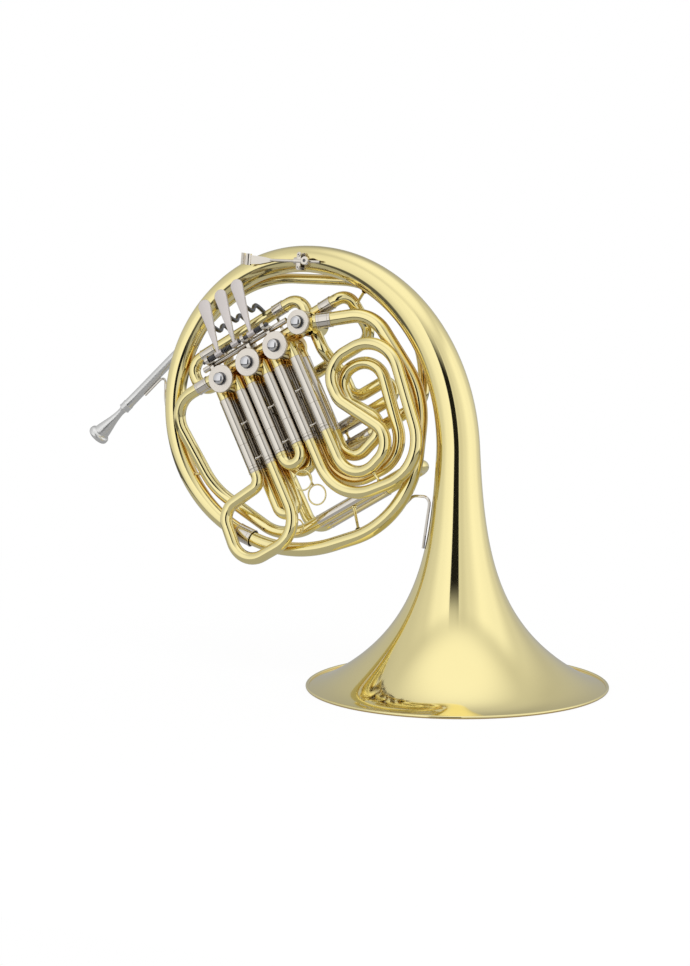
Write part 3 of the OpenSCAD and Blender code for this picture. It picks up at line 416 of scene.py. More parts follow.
def leadpipe_path():
    """Path of the leadpipe from the receiver to the main slide."""
    corners = [PIPE_IN, uv(-80, PIPE_Y, PIPE_TOP), uv(138, PIPE_Y, PIPE_TOP),
               (122.5, MAIN_Y, MAIN_Z[0]), (MAIN_X[1] + FIT, MAIN_Y, MAIN_Z[0])]
    return rounded(corners, [130, 107, 22], 24)


def feed_paths():
    """Paths of the bent feed tubes, by the node that each stands for."""
    x0, x3 = VALVE_X[0], VALVE_X[3]
    tune_end, main_end = TUNE_X[0] - FIT, MAIN_X[1] + FIT / 2
    start, left, row_left = x0 - 34.05, 20 - mm("ring_r"), x0 - 42
    riser_z, riser_x = MAIN_Z[1] + 20, 88
    near, far = TUNE_Y
    return {
        "feed_tube_1": rounded(
            [(start, FRONT_Y, FEED_Z), (left, FRONT_Y, FEED_Z), (left, 4, -34),
             (left + 40, near, -106), (left + 70, near, TUNE_Z), (tune_end, near, TUNE_Z)],
            [(start - left) * 0.73, 75, 40, 40]),
        "feed_tube_f": rounded(
            [(x3 + 31.05, REAR_Y, CHANGE_PORT_Z), (x3 + 37.05, REAR_Y, CHANGE_PORT_Z),
             (x3 + 49.05, 5, CHANGE_PORT_Z), (100, 24, 26), (-58, 32, 26), (-58, far, TUNE_Z),
             (tune_end, far, TUNE_Z)], [12, 12, 16, 24, 18]),
        "riser_tube": rounded(
            [(riser_x, MAIN_Y, riser_z), (x3, MAIN_Y, riser_z), (x3, MAIN_Y, 4), (x3, REAR_Y, 34),
             (x3, REAR_Y, 44)], [13, 14, 14]),
        "row_tube": rounded(
            [(x3, REAR_Y, VALVE_Z[3] + 12), (x3, REAR_Y, ROW_Z), (row_left, REAR_Y, ROW_Z),
             (row_left, REAR_Y, FEED_Z), (x0 - 24.1, REAR_Y, FEED_Z)], [15, 15, 15]),
        "return_bend": rounded(
            [(main_end, MAIN_Y, MAIN_Z[1]), (98, MAIN_Y, MAIN_Z[1]), (98, MAIN_Y, riser_z),
             (riser_x, MAIN_Y, riser_z)], [9.99, 9.99]),
    }


def crook_paths():
    """Paths of the long crooks, by the node that each stands for."""
    paths = {}
    for node, (valve, y, left_z, corners, right_z, radii) in CROOKS.items():
        left, right = VALVE_X[valve] - LEG_OFF, VALVE_X[valve] + LEG_OFF
        line = [(left, CROOK_Z), (left, left_z), *corners, (right, right_z), (right, CROOK_Z)]
        paths[node] = rounded([(x, y, z) for x, z in line], radii)
    return paths


# Shapes


def pointing(point, way):
    """Placement at a point with z running along a way."""
    turn = Vector(way).to_track_quat("Z", "Y")
    return Matrix.Translation(point) @ turn.to_matrix().to_4x4()


def standing(a, b):
    """Placement with z running from a towards b."""
    return pointing(a, Vector(b) - Vector(a))


def bell_ring(z, radius):
    """Placement of a circle round the bell's axis."""
    return TO_COIL @ Matrix.Translation((0, 0, z)) @ Matrix.Scale(radius, 4)


def of_kind(geometry, kind):
    """The parts of some geometry that are of one kind."""
    return [item for item in geometry if isinstance(item, kind)]


def spun(profile, place=UPRIGHT, steps=64, closed=False):
    """A turned shape from radius and height pairs."""
    bm = bmesh.new()
    verts = [bm.verts.new((r, 0, h)) for r, h in profile]
    pairs = list(zip(verts, verts[1:]))
    if closed:
        pairs.append((verts[-1], verts[0]))
    edges = [bm.edges.new(pair) for pair in pairs]
    bmesh.ops.spin(bm, geom=verts + edges, axis=(0, 0, 1), angle=2 * pi, steps=steps,
                   use_merge=True)
    bmesh.ops.remove_doubles(bm, verts=bm.verts, dist=WELD)
    bmesh.ops.recalc_face_normals(bm, faces=bm.faces)
    bm.transform(place)
    return bm


def next_ring(bm, edges, place, step):
    """Extrudes a ring of edges from its placement to the next, and gives the new ring's edges."""
    made = bmesh.ops.extrude_edge_only(bm, edges=edges)["geom"]
    moved = of_kind(made, bmesh.types.BMVert)
    bmesh.ops.transform(bm, matrix=step @ place.inverted(), verts=moved)
    return of_kind(made, bmesh.types.BMEdge)


def swept(path, radii, sides=32, capped=True):
    """A round tube along a path, closed at its end and, where capped, at its start."""
    path = [Vector(point) for point in path]
    count = len(path)
    if not hasattr(radii, "__len__"):
        radii = [radii] * count
    ways = [(path[min(i + 1, count - 1)] - path[max(i - 1, 0)]).normalized() for i in range(count)]
    turn = ways[0].to_track_quat("Z", "Y")

    def ring_at(i):
        return Matrix.Translation(path[i]) @ turn.to_matrix().to_4x4() @ Matrix.Scale(radii[i], 4)

    bm = bmesh.new()
    bmesh.ops.create_circle(bm, segments=sides, radius=1, cap_ends=capped)
    edges = list(bm.edges)
    place = ring_at(0)
    bmesh.ops.transform(bm, matrix=place, verts=bm.verts)
    for i in range(1, count):
        turn = ways[i - 1].rotation_difference(ways[i]) @ turn
        step = ring_at(i)
        edges = next_ring(bm, edges, place, step)
        place = step
    bmesh.ops.holes_fill(bm, edges=edges, sides=0)
    bmesh.ops.recalc_face_normals(bm, faces=bm.faces)
    return bm


def meshed(name, bm):
    """A shape as a mesh."""
    mesh = bpy.data.meshes.new(name)
    bm.to_mesh(mesh)
    bm.free()
    return mesh


def placed(name, data):
    """A new object in the scene."""
    item = bpy.data.objects.new(name, data)
    bpy.context.scene.collection.objects.link(item)
    return item


def gather(shapes):
    """Several shapes as one."""
    whole = bmesh.new()
    for shape in shapes:
        scratch = meshed("scratch", shape)
        whole.from_mesh(scratch)
        bpy.data.meshes.remove(scratch)
    return whole


def half_round(r, h, size):
    """Profile of a half-round bead on a wall of that radius."""
    return [(r + size * cos(a), h + size * sin(a)) for a in arc(-pi / 2, pi, 8)]


def beaded_sleeve(a, b, outside, bore, bead, lines=()):
    """A sleeve from a to b with a bead at each end and fine turned lines between."""
    run = (Vector(b) - Vector(a)).length
    profile = [(bore, 0), (outside, 0)] + half_round(outside, bead, bead)
    # The sides of a line are steep enough to be shaded as sharp edges
    for h in lines:
        profile += [(outside, h - 0.2), (outside - 0.22, h), (outside, h + 0.2)]
    profile += half_round(outside, run - bead, bead) + [(outside, run), (bore, run)]
    return spun(profile, standing(a, b), 48, True)


def ring_of_wire(centre, radius, wire):
    """A closed ring of round wire that faces the front."""
    profile = [(radius + wire * cos(a), wire * sin(a)) for a in circle(16)]
    return spun(profile, pointing(centre, (0, 1, 0)), 72, True)


def rod(r, run, place, ease=0.3, steps=32):
    """A short rod with eased ends."""
    profile = [(0, 0), (r - ease, 0), (r, ease), (r, run - ease), (r - ease, run), (0, run)]
    return spun(profile, place, steps)


def plate(outline, thick, edge, place):
    """A plate from its outline in x and z, centred on y, with rounded edges."""
    bm = bmesh.new()
    face = bm.faces.new([bm.verts.new((x, thick / 2, z)) for x, z in outline])
    made = bmesh.ops.extrude_face_region(bm, geom=[face])["geom"]
    bmesh.ops.translate(bm, verts=of_kind(made, bmesh.types.BMVert), vec=(0, -thick, 0))
    bmesh.ops.recalc_face_normals(bm, faces=bm.faces)
    rims = [e for e in bm.edges if e.calc_face_angle(0) > radians(60)]
    bmesh.ops.bevel(bm, geom=rims, offset=edge, segments=4, profile=0.5, affect="EDGES",
                    material=-1, clamp_overlap=True)
    bm.transform(place)
    return bm


def paddle_outline(run, wide, foot):
    """Outline of a finger paddle that stands on its foot at the origin."""
    r, toe = wide / 2, foot / 2
    head = run - r
    lean = asin((wide - foot) / 2 / head)
    top = [(r * cos(a), head + r * sin(a)) for a in arc(-lean, pi + 2 * lean, 36)]
    return top + [(toe * cos(a), toe * sin(a)) for a in arc(pi + lean, pi - 2 * lean, 18)]


def wave(a, b, steps=14):
    """Points after a on an eased rise from a to b."""
    shares = [i / steps for i in range(1, steps + 1)]
    return [(mixed(a[0], b[0], t), mixed(a[1], b[1], 0.5 - 0.5 * cos(pi * t))) for t in shares]


def ribbon(line, high):
    """Outline of a band of even height along a line."""
    upper, lower = [], []
    for i, (x, z) in enumerate(line):
        before, after = line[max(i - 1, 0)], line[min(i + 1, len(line) - 1)]
        dx, dz = after[0] - before[0], after[1] - before[1]
        out = high / 2 / hypot(dx, dz)
        upper.append((x - dz * out, z + dx * out))
        lower.append((x + dz * out, z - dx * out))
    return upper + lower[::-1]


def turned_strut(a, b, waist, foot):
    """A turned brace with a flared foot at each end."""
    run = (Vector(b) - Vector(a)).length
    base, rise = 0.3, min(2.5, run * 0.3)
    flared = [(mixed(waist, foot, (1 - s) ** 2.2), mixed(base, rise, s))
              for s in (0, 0.1, 0.25, 0.5, 0.75, 1)]
    profile = [(0, 0), (foot, 0)] + flared
    profile += [(r, run - h) for r, h in reversed(flared)] + [(foot, run), (0, run)]
    return spun(profile, standing(a, b), 24)


def arm_line():
    """Middle line of a lever arm: it rises over the row tube and falls to the link."""
    pairs = zip(ARM_KNOTS, ARM_KNOTS[1:])
    line = [ARM_KNOTS[0]] + [point for a, b in pairs for point in wave(a, b)]
    return [(y, z + ARM_LIFT) for y, z in line]


def collared_leg(x, y, bottom):
    """One leg of a slide with the collar that meets the sleeve."""
    leg, tube = mm("leg_d") / 2, mm("tube_d") / 2
    over, top = tube + COLLAR_OVER, LEG_TOP - CROOK_Z
    profile = [(leg - WALL, bottom), (tube + FIT, bottom), (tube + FIT, 0.4), (over, 0.6)]
    profile += half_round(over, 1.2, COLLAR_BEAD) + half_round(over, COLLAR_H - 0.8, COLLAR_BEAD)
    profile += [(over, COLLAR_H), (leg, COLLAR_H), (leg, top), (leg - WALL, top)]
    return spun(profile, Matrix.Translation((x, y, CROOK_Z)), 48, True)


# Materials


def fill(tree, node, inputs):
    """Sets the inputs of a node, or links them where a socket is given."""
    for key, value in inputs.items():
        if isinstance(value, bpy.types.NodeSocket):
            tree.links.new(value, node.inputs[key])
        else:
            node.inputs[key].default_value = value


def add(tree, kind, inputs=None, **settings):
    """Adds a node with its settings and inputs, and gives its outputs."""
    node = tree.nodes.new(kind)
    for name, value in settings.items():
        setattr(node, name, value)
    fill(tree, node, inputs or {})
    return node.outputs


def maths(tree, operation, *values):
    """Adds a maths node of one or two values."""
    return add(tree, "ShaderNodeMath", dict(enumerate(values)), operation=operation)["Value"]


def blend(tree, share, a, b, kind="FLOAT"):
    """Adds a blend from a to b."""
    inputs = {"Factor": share, "A": a, "B": b}
    return add(tree, "ShaderNodeMix", inputs, data_type=kind)["Result"]


def ranged(tree, value, limits, low=0.0, high=1.0, kind="LINEAR"):
    """Adds a change of range, from limits to a low and a high value."""
    inputs = {"Value": value, "From Min": limits[0], "From Max": limits[1], "To Min": low,
              "To Max": high}
    return add(tree, "ShaderNodeMapRange", inputs, interpolation_type=kind)["Result"]


def polish_and_shade_group():
    """Uneven polish and painted shade: slow change of tone, haze, fine waves, and painted shade
    that darkens the colour in recesses.
    """
    found = bpy.data.node_groups.get("uneven_polish")
    if found:
        return found
    tree = bpy.data.node_groups.new("uneven_polish", "ShaderNodeTree")
    sockets = {
        "INPUT": (("Colour", "Color"), ("Deeper", "Color"), ("Recess", "Color"),
                  ("Smoothest", "Float"), ("Haziest", "Float")),
        "OUTPUT": (("Colour", "Color"), ("Roughness", "Float"), ("Height", "Float")),
    }
    for side, rows in sockets.items():
        for name, kind in rows:
            tree.interface.new_socket(name, in_out=side, socket_type="NodeSocket" + kind)
    given = add(tree, "NodeGroupInput")
    place = add(tree, "ShaderNodeTexCoord")["Object"]
    tone, haze, waves = (
        add(tree, "ShaderNodeTexNoise", {"Vector": place, "Scale": scale, "Detail": detail})["Fac"]
        for scale, detail in (TONE_NOISE, HAZE_NOISE, WAVE_NOISE))
    patchy = blend(tree, tone, given["Colour"], given["Deeper"], "RGBA")
    # Painted shade: where other surfaces are close, the colour darkens towards the recess shade
    # colour
    near = add(tree, "ShaderNodeAmbientOcclusion", {"Distance": SHADE_REACH * MM},
               samples=SHADE_SAMPLES)
    unshaded = ranged(tree, near["AO"], SHADE_RANGE)
    add(tree, "NodeGroupOutput", {
        "Colour": blend(tree, unshaded, given["Recess"], patchy, "RGBA"),
        "Roughness": ranged(tree, haze, HAZE_RANGE, given["Smoothest"], given["Haziest"]),
        "Height": waves,
    })
    return tree


def material_of(look):
    """The material of a look, whose tone, haze and surface vary, and whose recesses darken as
    painted shade.
    """
    found = bpy.data.materials.get(look.material)
    if found:
        return found
    material = bpy.data.materials.new(look.material)
    material.use_nodes = True
    tree = material.node_tree
    tint = getattr(bpy.context.scene.horn_finish, look.tint)

    def tinted(shares):
        return (*(c * share for c, share in zip(tint, shares)), 1)

    polish_and_shade = add(tree, "ShaderNodeGroup", node_tree=polish_and_shade_group(), inputs={
        "Colour": (*tint, 1), "Deeper": tinted(look.patches), "Recess": tinted(look.recess),
        "Smoothest": look.smoothest, "Haziest": look.haziest,
    })
    shader = tree.nodes["Principled BSDF"]
    fill(tree, shader, {
        "Base Color": polish_and_shade["Colour"], "Roughness": polish_and_shade["Roughness"],
        "Metallic": look.metallic, "Coat Weight": look.coat, "Coat Roughness": COAT_ROUGHNESS,
    })
    if look.waves:
        inputs = {"Strength": 1.0, "Distance": look.waves * MM, "Height": polish_and_shade["Height"]}
        fill(tree, shader, {"Normal": add(tree, "ShaderNodeBump", inputs)["Normal"]})
    return material


# Finished pieces


def body_of(node=None):
    """The body that a node rides on, or else the one of all fixed pieces."""
    return frame["nodes"][node]["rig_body"] if node else BODY


def finished(name, bm, look, nodes=(), body=None, place=COIL):
    """Makes a shape in millimetres an object that stands for nodes and rides on their body."""
    bm.transform(Matrix.Scale(MM, 4) @ place)
    for face in bm.faces:
        face.smooth = True
    for edge in bm.edges:
        edge.smooth = edge.calc_face_angle(pi) < SHARP
    mesh = meshed(name, bm)
    mesh.materials.append(material_of(look))
    piece = placed(name, mesh)
    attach(piece, body or body_of(*nodes[:1]))
    if nodes:
        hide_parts(*nodes)
    return piece


def polished(node, look, bevel=0.0, label="finish", keep=None):
    """A smooth-shaded copy of a node, or of the solids to keep, with its edges broken."""
    bm = bmesh.new()
    bm.from_mesh(frame["nodes"][node].data)
    if keep:
        others = [vert for vert in bm.verts if not keep(TO_COIL @ (vert.co / MM))]
        bmesh.ops.delete(bm, geom=others, context="VERTS")
    bmesh.ops.remove_doubles(bm, verts=bm.verts, dist=WELD * MM)
    bmesh.ops.dissolve_limit(bm, angle_limit=radians(0.5), verts=bm.verts, edges=bm.edges)
    piece = finished(f"{node}_{label}", bm, look, (node,), place=Matrix.Scale(1 / MM, 4))
    if bevel:
        broken = piece.modifiers.new("broken_edges", "BEVEL")
        broken.width = bevel * MM
        broken.segments = 2
        broken.limit_method = "ANGLE"
        broken.angle_limit = radians(40)
        broken.harden_normals = True


# Operators


class HORN_OT_bell(bpy.types.Operator):
    """Bell sheet with its inner wall and its branch in one run, and the wire rolled into the rim"""

    bl_idname = "horn.bell"
    bl_label = "Bell"

    def execute(self, context):
        sheet, top = mm("sheet_t"), mm("bell_h") - EDGE_LIFT
        shares = [(i / BELL_STEPS) ** BELL_CROWDING for i in range(BELL_STEPS + 1)]
        heights = [mixed(EDGE_Z, top, share) for share in shares]
        outer = [flare(z) for z in heights]
        branch, radii = bell_branch_path()
        axis = [bell_axis(z + EDGE_LIFT) for z in heights]
        bell = swept(axis + branch[1:], outer + radii[1:], BELL_SIDES, False)
        edges = [edge for edge in bell.edges if edge.is_boundary]
        place = bell_ring(EDGE_Z + EDGE_LIFT, outer[0])
        for z, r in zip(heights, outer):
            step = bell_ring(z + EDGE_LIFT - sheet * SHEET_DROP, r - sheet)
            edges = next_ring(bell, edges, place, step)
            place = step
        bmesh.ops.recalc_face_normals(bell, faces=bell.faces)
        finished("bell_and_branch", bell, BRASS, ("bell_flare", "bell_branch"))
        wire = mm("rim_wire") / 2
        centre, lift = mm("rim_d") / 2 - wire, wire - RIM_FLAT
        profile = [(centre + wire * cos(a), max(0.0, lift + wire * sin(a))) for a in circle(28)]
        rim = spun(profile, UPRIGHT, 192, True)
        finished("bell_rim_wire", rim, BRASS, ("bell_rim",), place=UPRIGHT)
        return {"FINISHED"}


class HORN_OT_branches(bpy.types.Operator):
    """First branch and the ferrules of both branches"""

    bl_idname = "horn.branches"
    bl_label = "Branches"

    def execute(self, context):
        path = first_branch_path()
        half = mm("branch_d") / 2
        finished("first_branch_tube", swept(path, half, 40), BRASS, ("first_branch",))
        end, along = ring_joint()
        start, out = path[0], (path[1] - path[0]).normalized()
        ferrules = gather([
            beaded_sleeve(end - along * 9, end + along * 9.5, 9.2, 8.6, FERRULE_BEAD, (4, 14.5)),
            beaded_sleeve(start - out * 9.5, start + out * 6, half + 0.75, half + FIT, FERRULE_BEAD,
                          (3, 12.5)),
        ])
        finished("branch_ferrule_pair", ferrules, NICKEL, ("branch_ferrules",))
        return {"FINISHED"}


class HORN_OT_leadpipe(bpy.types.Operator):
    """Tapered leadpipe and the receiver that holds the mouthpiece"""

    bl_idname = "horn.leadpipe"
    bl_label = "Leadpipe"

    def execute(self, context):
        path = leadpipe_path()
        runs = runs_along(path)
        radii = [mixed(PIPE_R, mm("tube_d") / 2, run / runs[-1]) for run in runs]
        finished("leadpipe_tube", swept(path, radii), BRASS, ("leadpipe",))
        n, back = RECEIVER_L, -PIPE_SLEEVE_L
        wall = [(3.4, 0.3), (4.8, 0.3), (4.8, back), (5.1, back), (5.2, 0), (5.3, n - 30)]
        wall += [(5.5, n - 9), (5.7, n - 8.6), (5.9, n - 7.6)]
        collar = half_round(5.9, n - 7, 0.25) + half_round(5.9, n - 0.6, 0.3)
        mouth = [(5.5, n), (4.8, n), (4.08, n - 24)]
        receiver = spun(wall + collar + mouth, pointing(PIPE_IN, PIPE_OUT), 48, True)
        plated = SILVER._replace(slot="nickel_silver")
        finished("receiver_sleeve", receiver, plated, ("mouthpiece_receiver",))
        return {"FINISHED"}


class HORN_OT_mouthpiece(bpy.types.Operator):
    """Turned mouthpiece with its cup and rim"""

    bl_idname = "horn.mouthpiece"
    bl_label = "Mouthpiece"

    def execute(self, context):
        m, r = MOUTHPIECE_L, mm("mouthpiece_d") / 2
        profile = [(1.9, 0), (3.7, 0), (3.9, 0.3), (4.5, 19.4), (4.3, 20.6), (3.7, 23), (3.6, 26)]
        profile += [(3.9, 31), (4.9, 38), (6.3, 45), (7.7, 51)]
        profile += [(8.6, m - 9.5), (8.9, m - 7.8), (9.8, m - 6.9)]
        # The rim
        profile += [(r - 0.8, m - 6.1), (r - 0.2, m - 4.8), (r, m - 3), (r - 0.2, m - 1.4),
                    (r - 0.9, m - 0.4), (r - 2, m), (r - 3.2, m - 0.7), (r - 4.2, m - 2.2)]
        # The inside of the cup
        profile += [(7.2, m - 8), (6.0, m - 14), (4.2, m - 20), (3.0, m - 25), (2.2, m - 32)]
        start = PIPE_IN + PIPE_OUT.normalized() * (RECEIVER_L - SHANK_L)
        turned = spun(profile, pointing(start, PIPE_OUT), 64, True)
        piece = finished("mouthpiece_turned", turned, SILVER, ("mouthpiece",))
        rounds = piece.modifiers.new("fair_curves", "SUBSURF")
        rounds.levels = rounds.render_levels = 1
        return {"FINISHED"}


class HORN_OT_valves(bpy.types.Operator):
    """Casings, caps and domes of the four valves"""

    bl_idname = "horn.valves"
    bl_label = "Valves"

    def execute(self, context):
        caps, domes, shade_necks = [], [], []
        dome = [(NECK_R, 3), (6, 3), (6.2, 3.4)]
        dome += [(DOME_R * cos(a), DOME_FOOT + DOME_RISE * sin(a)) for a in arc(0, pi / 2, 14)[:-1]]
        dome.append((0, DOME_FOOT + DOME_RISE))
        # The dark steel neck and its flange between cap and dome are painted shade for the gap
        # round the dome
        neck = [(0, 0), (6.9, 0), (6.9, 0.6), (6.4, 0.9), (NECK_R, 1), (NECK_R, 3.2), (0, 3.2)]
        for i in range(4):
            r = casing_r(i)
            place = pointing((VALVE_X[i], CASING_FRONT - FIT / 2, VALVE_Z[i]), TO_FRONT)
            cap = [(0, 0.2), (r - 0.5, 0), (r - 0.1, 0.4)]
            cap += [(r - 0.1 - CAP_EDGE * (1 - sin(a)), CAP_T - CAP_EDGE * (1 - cos(a)))
                    for a in arc(pi / 2, -pi / 2, 6)]
            cap += [(r * s, CAP_T) for s in (0.94, 0.9, 0.8, 0.7, 0.6, 0.5, 0)]
            caps.append(spun(cap, place, 72))
            top = place @ Matrix.Translation((0, 0, CAP_T + FIT / 2))
            domes.append(spun(dome, top, 48))
            shade_necks.append(spun(neck, top, 48))
        finished("valve_cap_set", gather(caps), CAP, ("valve_caps",))
        finished("cap_dome_set", gather(domes), CHROME, ("cap_domes",))
        # Painted shade: dark necks under the domes
        finished("cap_neck_set", gather(shade_necks), STEEL_AND_SHADE, ("cap_domes",))
        polished("valve_casings", BRASS, 0.3)
        polished("rear_plates", BRASS, 0.3)
        for i in range(1, 5):
            polished(f"rotor_{i}", BRONZE)
            polished(f"crank_{i}", NICKEL, 0.2)
        polished("stop_corks", RUBBER, 0.3)
        return {"FINISHED"}


class HORN_OT_feed_tubes(bpy.types.Operator):
    """Ports, feed tubes and the ferrules on them"""

    bl_idname = "horn.feed_tubes"
    bl_label = "Feed tubes"

    def execute(self, context):
        half = mm("tube_d") / 2
        for node, path in feed_paths().items():
            finished(node + "_bent", swept(path, half), BRASS, (node,))
        polished("port_tubes", BRASS)
        polished("change_ports", BRASS)
        x0, x3 = VALVE_X[0], VALVE_X[3]
        spans = (
            (x0 - 36, x0 - 21, FRONT_Y, FEED_Z), (x3 + 17, x3 + 31, REAR_Y, CHANGE_PORT_Z),
            (x3 - 34, x3 - 21, REAR_Y, ROW_Z), (x0 - 24, x0 - 6, REAR_Y, ROW_Z),
        )
        rings = [beaded_sleeve((a, y, z), (b, y, z), half + 0.6, half + FIT, FERRULE_BEAD,
                               (2.5, b - a - 2.5)) for a, b, y, z in spans]
        finished("tube_ferrule_set", gather(rings), NICKEL, ("tube_ferrules",))
        return {"FINISHED"}


class HORN_OT_sleeves(bpy.types.Operator):
    """Outer sleeves of all the slides"""

    bl_idname = "horn.sleeves"
    bl_label = "Sleeves"

    def execute(self, context):
        outside = mm("sleeve_d") / 2
        legs = [x + s * LEG_OFF for x in VALVE_X[:3] for s in (-1, 1)]
        # The ends of each sleeve, and where its turned lines are
        sets = {
            "front_sleeves": ([[(x, FRONT_Y, z) for z in SLEEVE_Z] for x in legs], (3, 28)),
            "rear_sleeves": ([[(x, REAR_Y, z) for z in SLEEVE_Z] for x in legs], (3, 28)),
            "main_sleeves": ([[(x, MAIN_Y, z) for x in MAIN_X] for z in MAIN_Z], (3,)),
            "tuning_sleeves": ([[(x, y, TUNE_Z) for x in TUNE_X] for y in TUNE_Y], (3, 73)),
        }
        for node, (spans, lines) in sets.items():
            drawn = gather([beaded_sleeve(a, b, outside - FIT, outside - WALL, SLEEVE_BEAD, lines)
                            for a, b in spans])
            finished(node + "_drawn", drawn, NICKEL, (node,))
        return {"FINISHED"}


class HORN_OT_valve_slides(bpy.types.Operator):
    """Six valve slides: three short bows with pull rings, three pairs of legs with long crooks"""

    bl_idname = "horn.valve_slides"
    bl_label = "Valve slides"

    def execute(self, context):
        half, wire = mm("tube_d") / 2, mm("ring_wire") / 2
        for node, (valve, y, hang, stem, ring) in SHORT_SLIDES.items():
            x, low, ring_r = VALVE_X[valve], CROOK_Z - hang, mm(ring) / 2
            left, right = x - LEG_OFF, x + LEG_OFF
            bow = [(x - LEG_OFF * cos(a), y, low - LEG_OFF * sin(a)) for a in arc(0, pi, 28)]
            tube = [(left, y, CROOK_Z), *bow, (right, y, CROOK_Z)]
            under = low - LEG_OFF - half
            hung = under - stem
            shapes = [swept(tube, half), collared_leg(left, y, 0), collared_leg(right, y, 0),
                      turned_strut((x, y, under + 0.3), (x, y, hung - 0.05), 0.9, 1.6),
                      ring_of_wire((x, y, hung - 0.15 - ring_r), ring_r - wire, wire)]
            finished(node + "_bow", gather(shapes), BRASS, (node,))
        for node, (valve, y) in LONG_SLIDES.items():
            legs = [collared_leg(VALVE_X[valve] + s * LEG_OFF, y, FIT / 2) for s in (-1, 1)]
            finished(node + "_legs", gather(legs), NICKEL, (node,))
        for node, path in crook_paths().items():
            finished(node + "_bent", swept(path, half, 36), BRASS, (node,))
        return {"FINISHED"}


class HORN_OT_tuning_slides(bpy.types.Operator):
    """Bows of the main slide and of the low tuning slide"""

    bl_idname = "horn.tuning_slides"
    bl_label = "Tuning slides"

    def execute(self, context):
        leg = mm("leg_d") / 2
        slides = (
            ("main_slide", MAIN_X[1] - LEG_INSET, MAIN_BOW_X, [(MAIN_Y, z) for z in MAIN_Z]),
            ("tuning_slide", TUNE_X[0] + LEG_INSET, TUNE_BOW_X, [(y, TUNE_Z) for y in TUNE_Y]),
        )
        for node, start, bow, (one, other) in slides:
            r = hypot(other[0] - one[0], other[1] - one[1]) / 2 - 0.01
            far = bow + r if bow > start else bow - r
            corners = [(start, *one), (far, *one), (far, *other), (start, *other)]
            finished(node + "_bow", swept(rounded(corners, [r, r]), leg), BRASS, (node,))
        return {"FINISHED"}


class HORN_OT_levers(bpy.types.Operator):
    """Finger levers, thumb lever, their axle, posts, springs and links"""

    bl_idname = "horn.levers"
    bl_label = "Levers"

    def execute(self, context):
        outline = paddle_outline(PADDLE_L, PADDLE_W, PADDLE_FOOT)
        arm = ribbon(arm_line(), ARM_H)
        pin_z = AXLE_Z + ARM_KNOTS[-1][1]
        for i, x in enumerate(LEVER_X):
            node = f"lever_{i + 1}"
            hub = beaded_sleeve((x - HUB_HALF, AXLE_Y, AXLE_Z), (x + HUB_HALF, AXLE_Y, AXLE_Z),
                                HUB_R, HUB_BORE, FERRULE_BEAD)
            foot = Matrix.Translation((x, AXLE_Y - PADDLE_FRONT, AXLE_Z))
            paddle = plate(outline, PADDLE_T, 0.7, foot @ Matrix.Rotation(LEVER_LEAN, 4, "Y"))
            finished(node + "_paddle", gather([paddle, hub]), SATIN, (node,))
            reach = LINK_X[i] - x
            low, high = min(reach - PIN_OVER, ARM_DX - 1), max(reach + PIN_OVER, ARM_DX + 1)
            side = Matrix.Translation((x + ARM_DX, 0, AXLE_Z)) @ Matrix.Rotation(pi / 2, 4, "Z")
            eye = pointing((x + ARM_DX - EYE_T / 2, ARM_Y, pin_z), TO_RIGHT)
            pin = pointing((x + low, ARM_Y, pin_z), TO_RIGHT)
            # Painted dark reflection: the nickel lever arms take the dark steel finish so that they
            # look dark
            shapes = [plate(arm, ARM_T, 0.8, side), rod(EYE_R, EYE_T, eye),
                      rod(PIN_R, high - low, pin)]
            finished(node + "_arm", gather(shapes), STEEL_AND_SHADE, (node,))
        polished("thumb_lever", NICKEL, 0.3)
        for i in range(1, 5):
            polished(f"link_{i}", NICKEL, 0.2)
        polished("lever_posts", NICKEL, 0.3)
        polished("lever_axle", STEEL_AND_SHADE, 0.3)
        spans = (
            (END_POST_X[0] + POST_GAP, LEVER_X[0] - LEVER_GAP),
            (LEVER_X[0] + LEVER_GAP, LEVER_X[1] - LEVER_GAP),
            (LEVER_X[2] + LEVER_GAP, END_POST_X[1] - POST_GAP),
        )
        r, count = SPRING_R, SPRING_TURNS * SPRING_STEPS
        coils = []
        for a, b in spans:
            helix = [(mixed(a, b, i / count), AXLE_Y - r * cos(t), AXLE_Z + r * sin(t))
                     for i, t in enumerate(arc(0, 2 * pi * SPRING_TURNS, count))]
            coils.append(swept(helix, SPRING_WIRE, 10))
        finished("lever_spring_set", gather(coils), STEEL_AND_SHADE, ("lever_springs",))
        return {"FINISHED"}


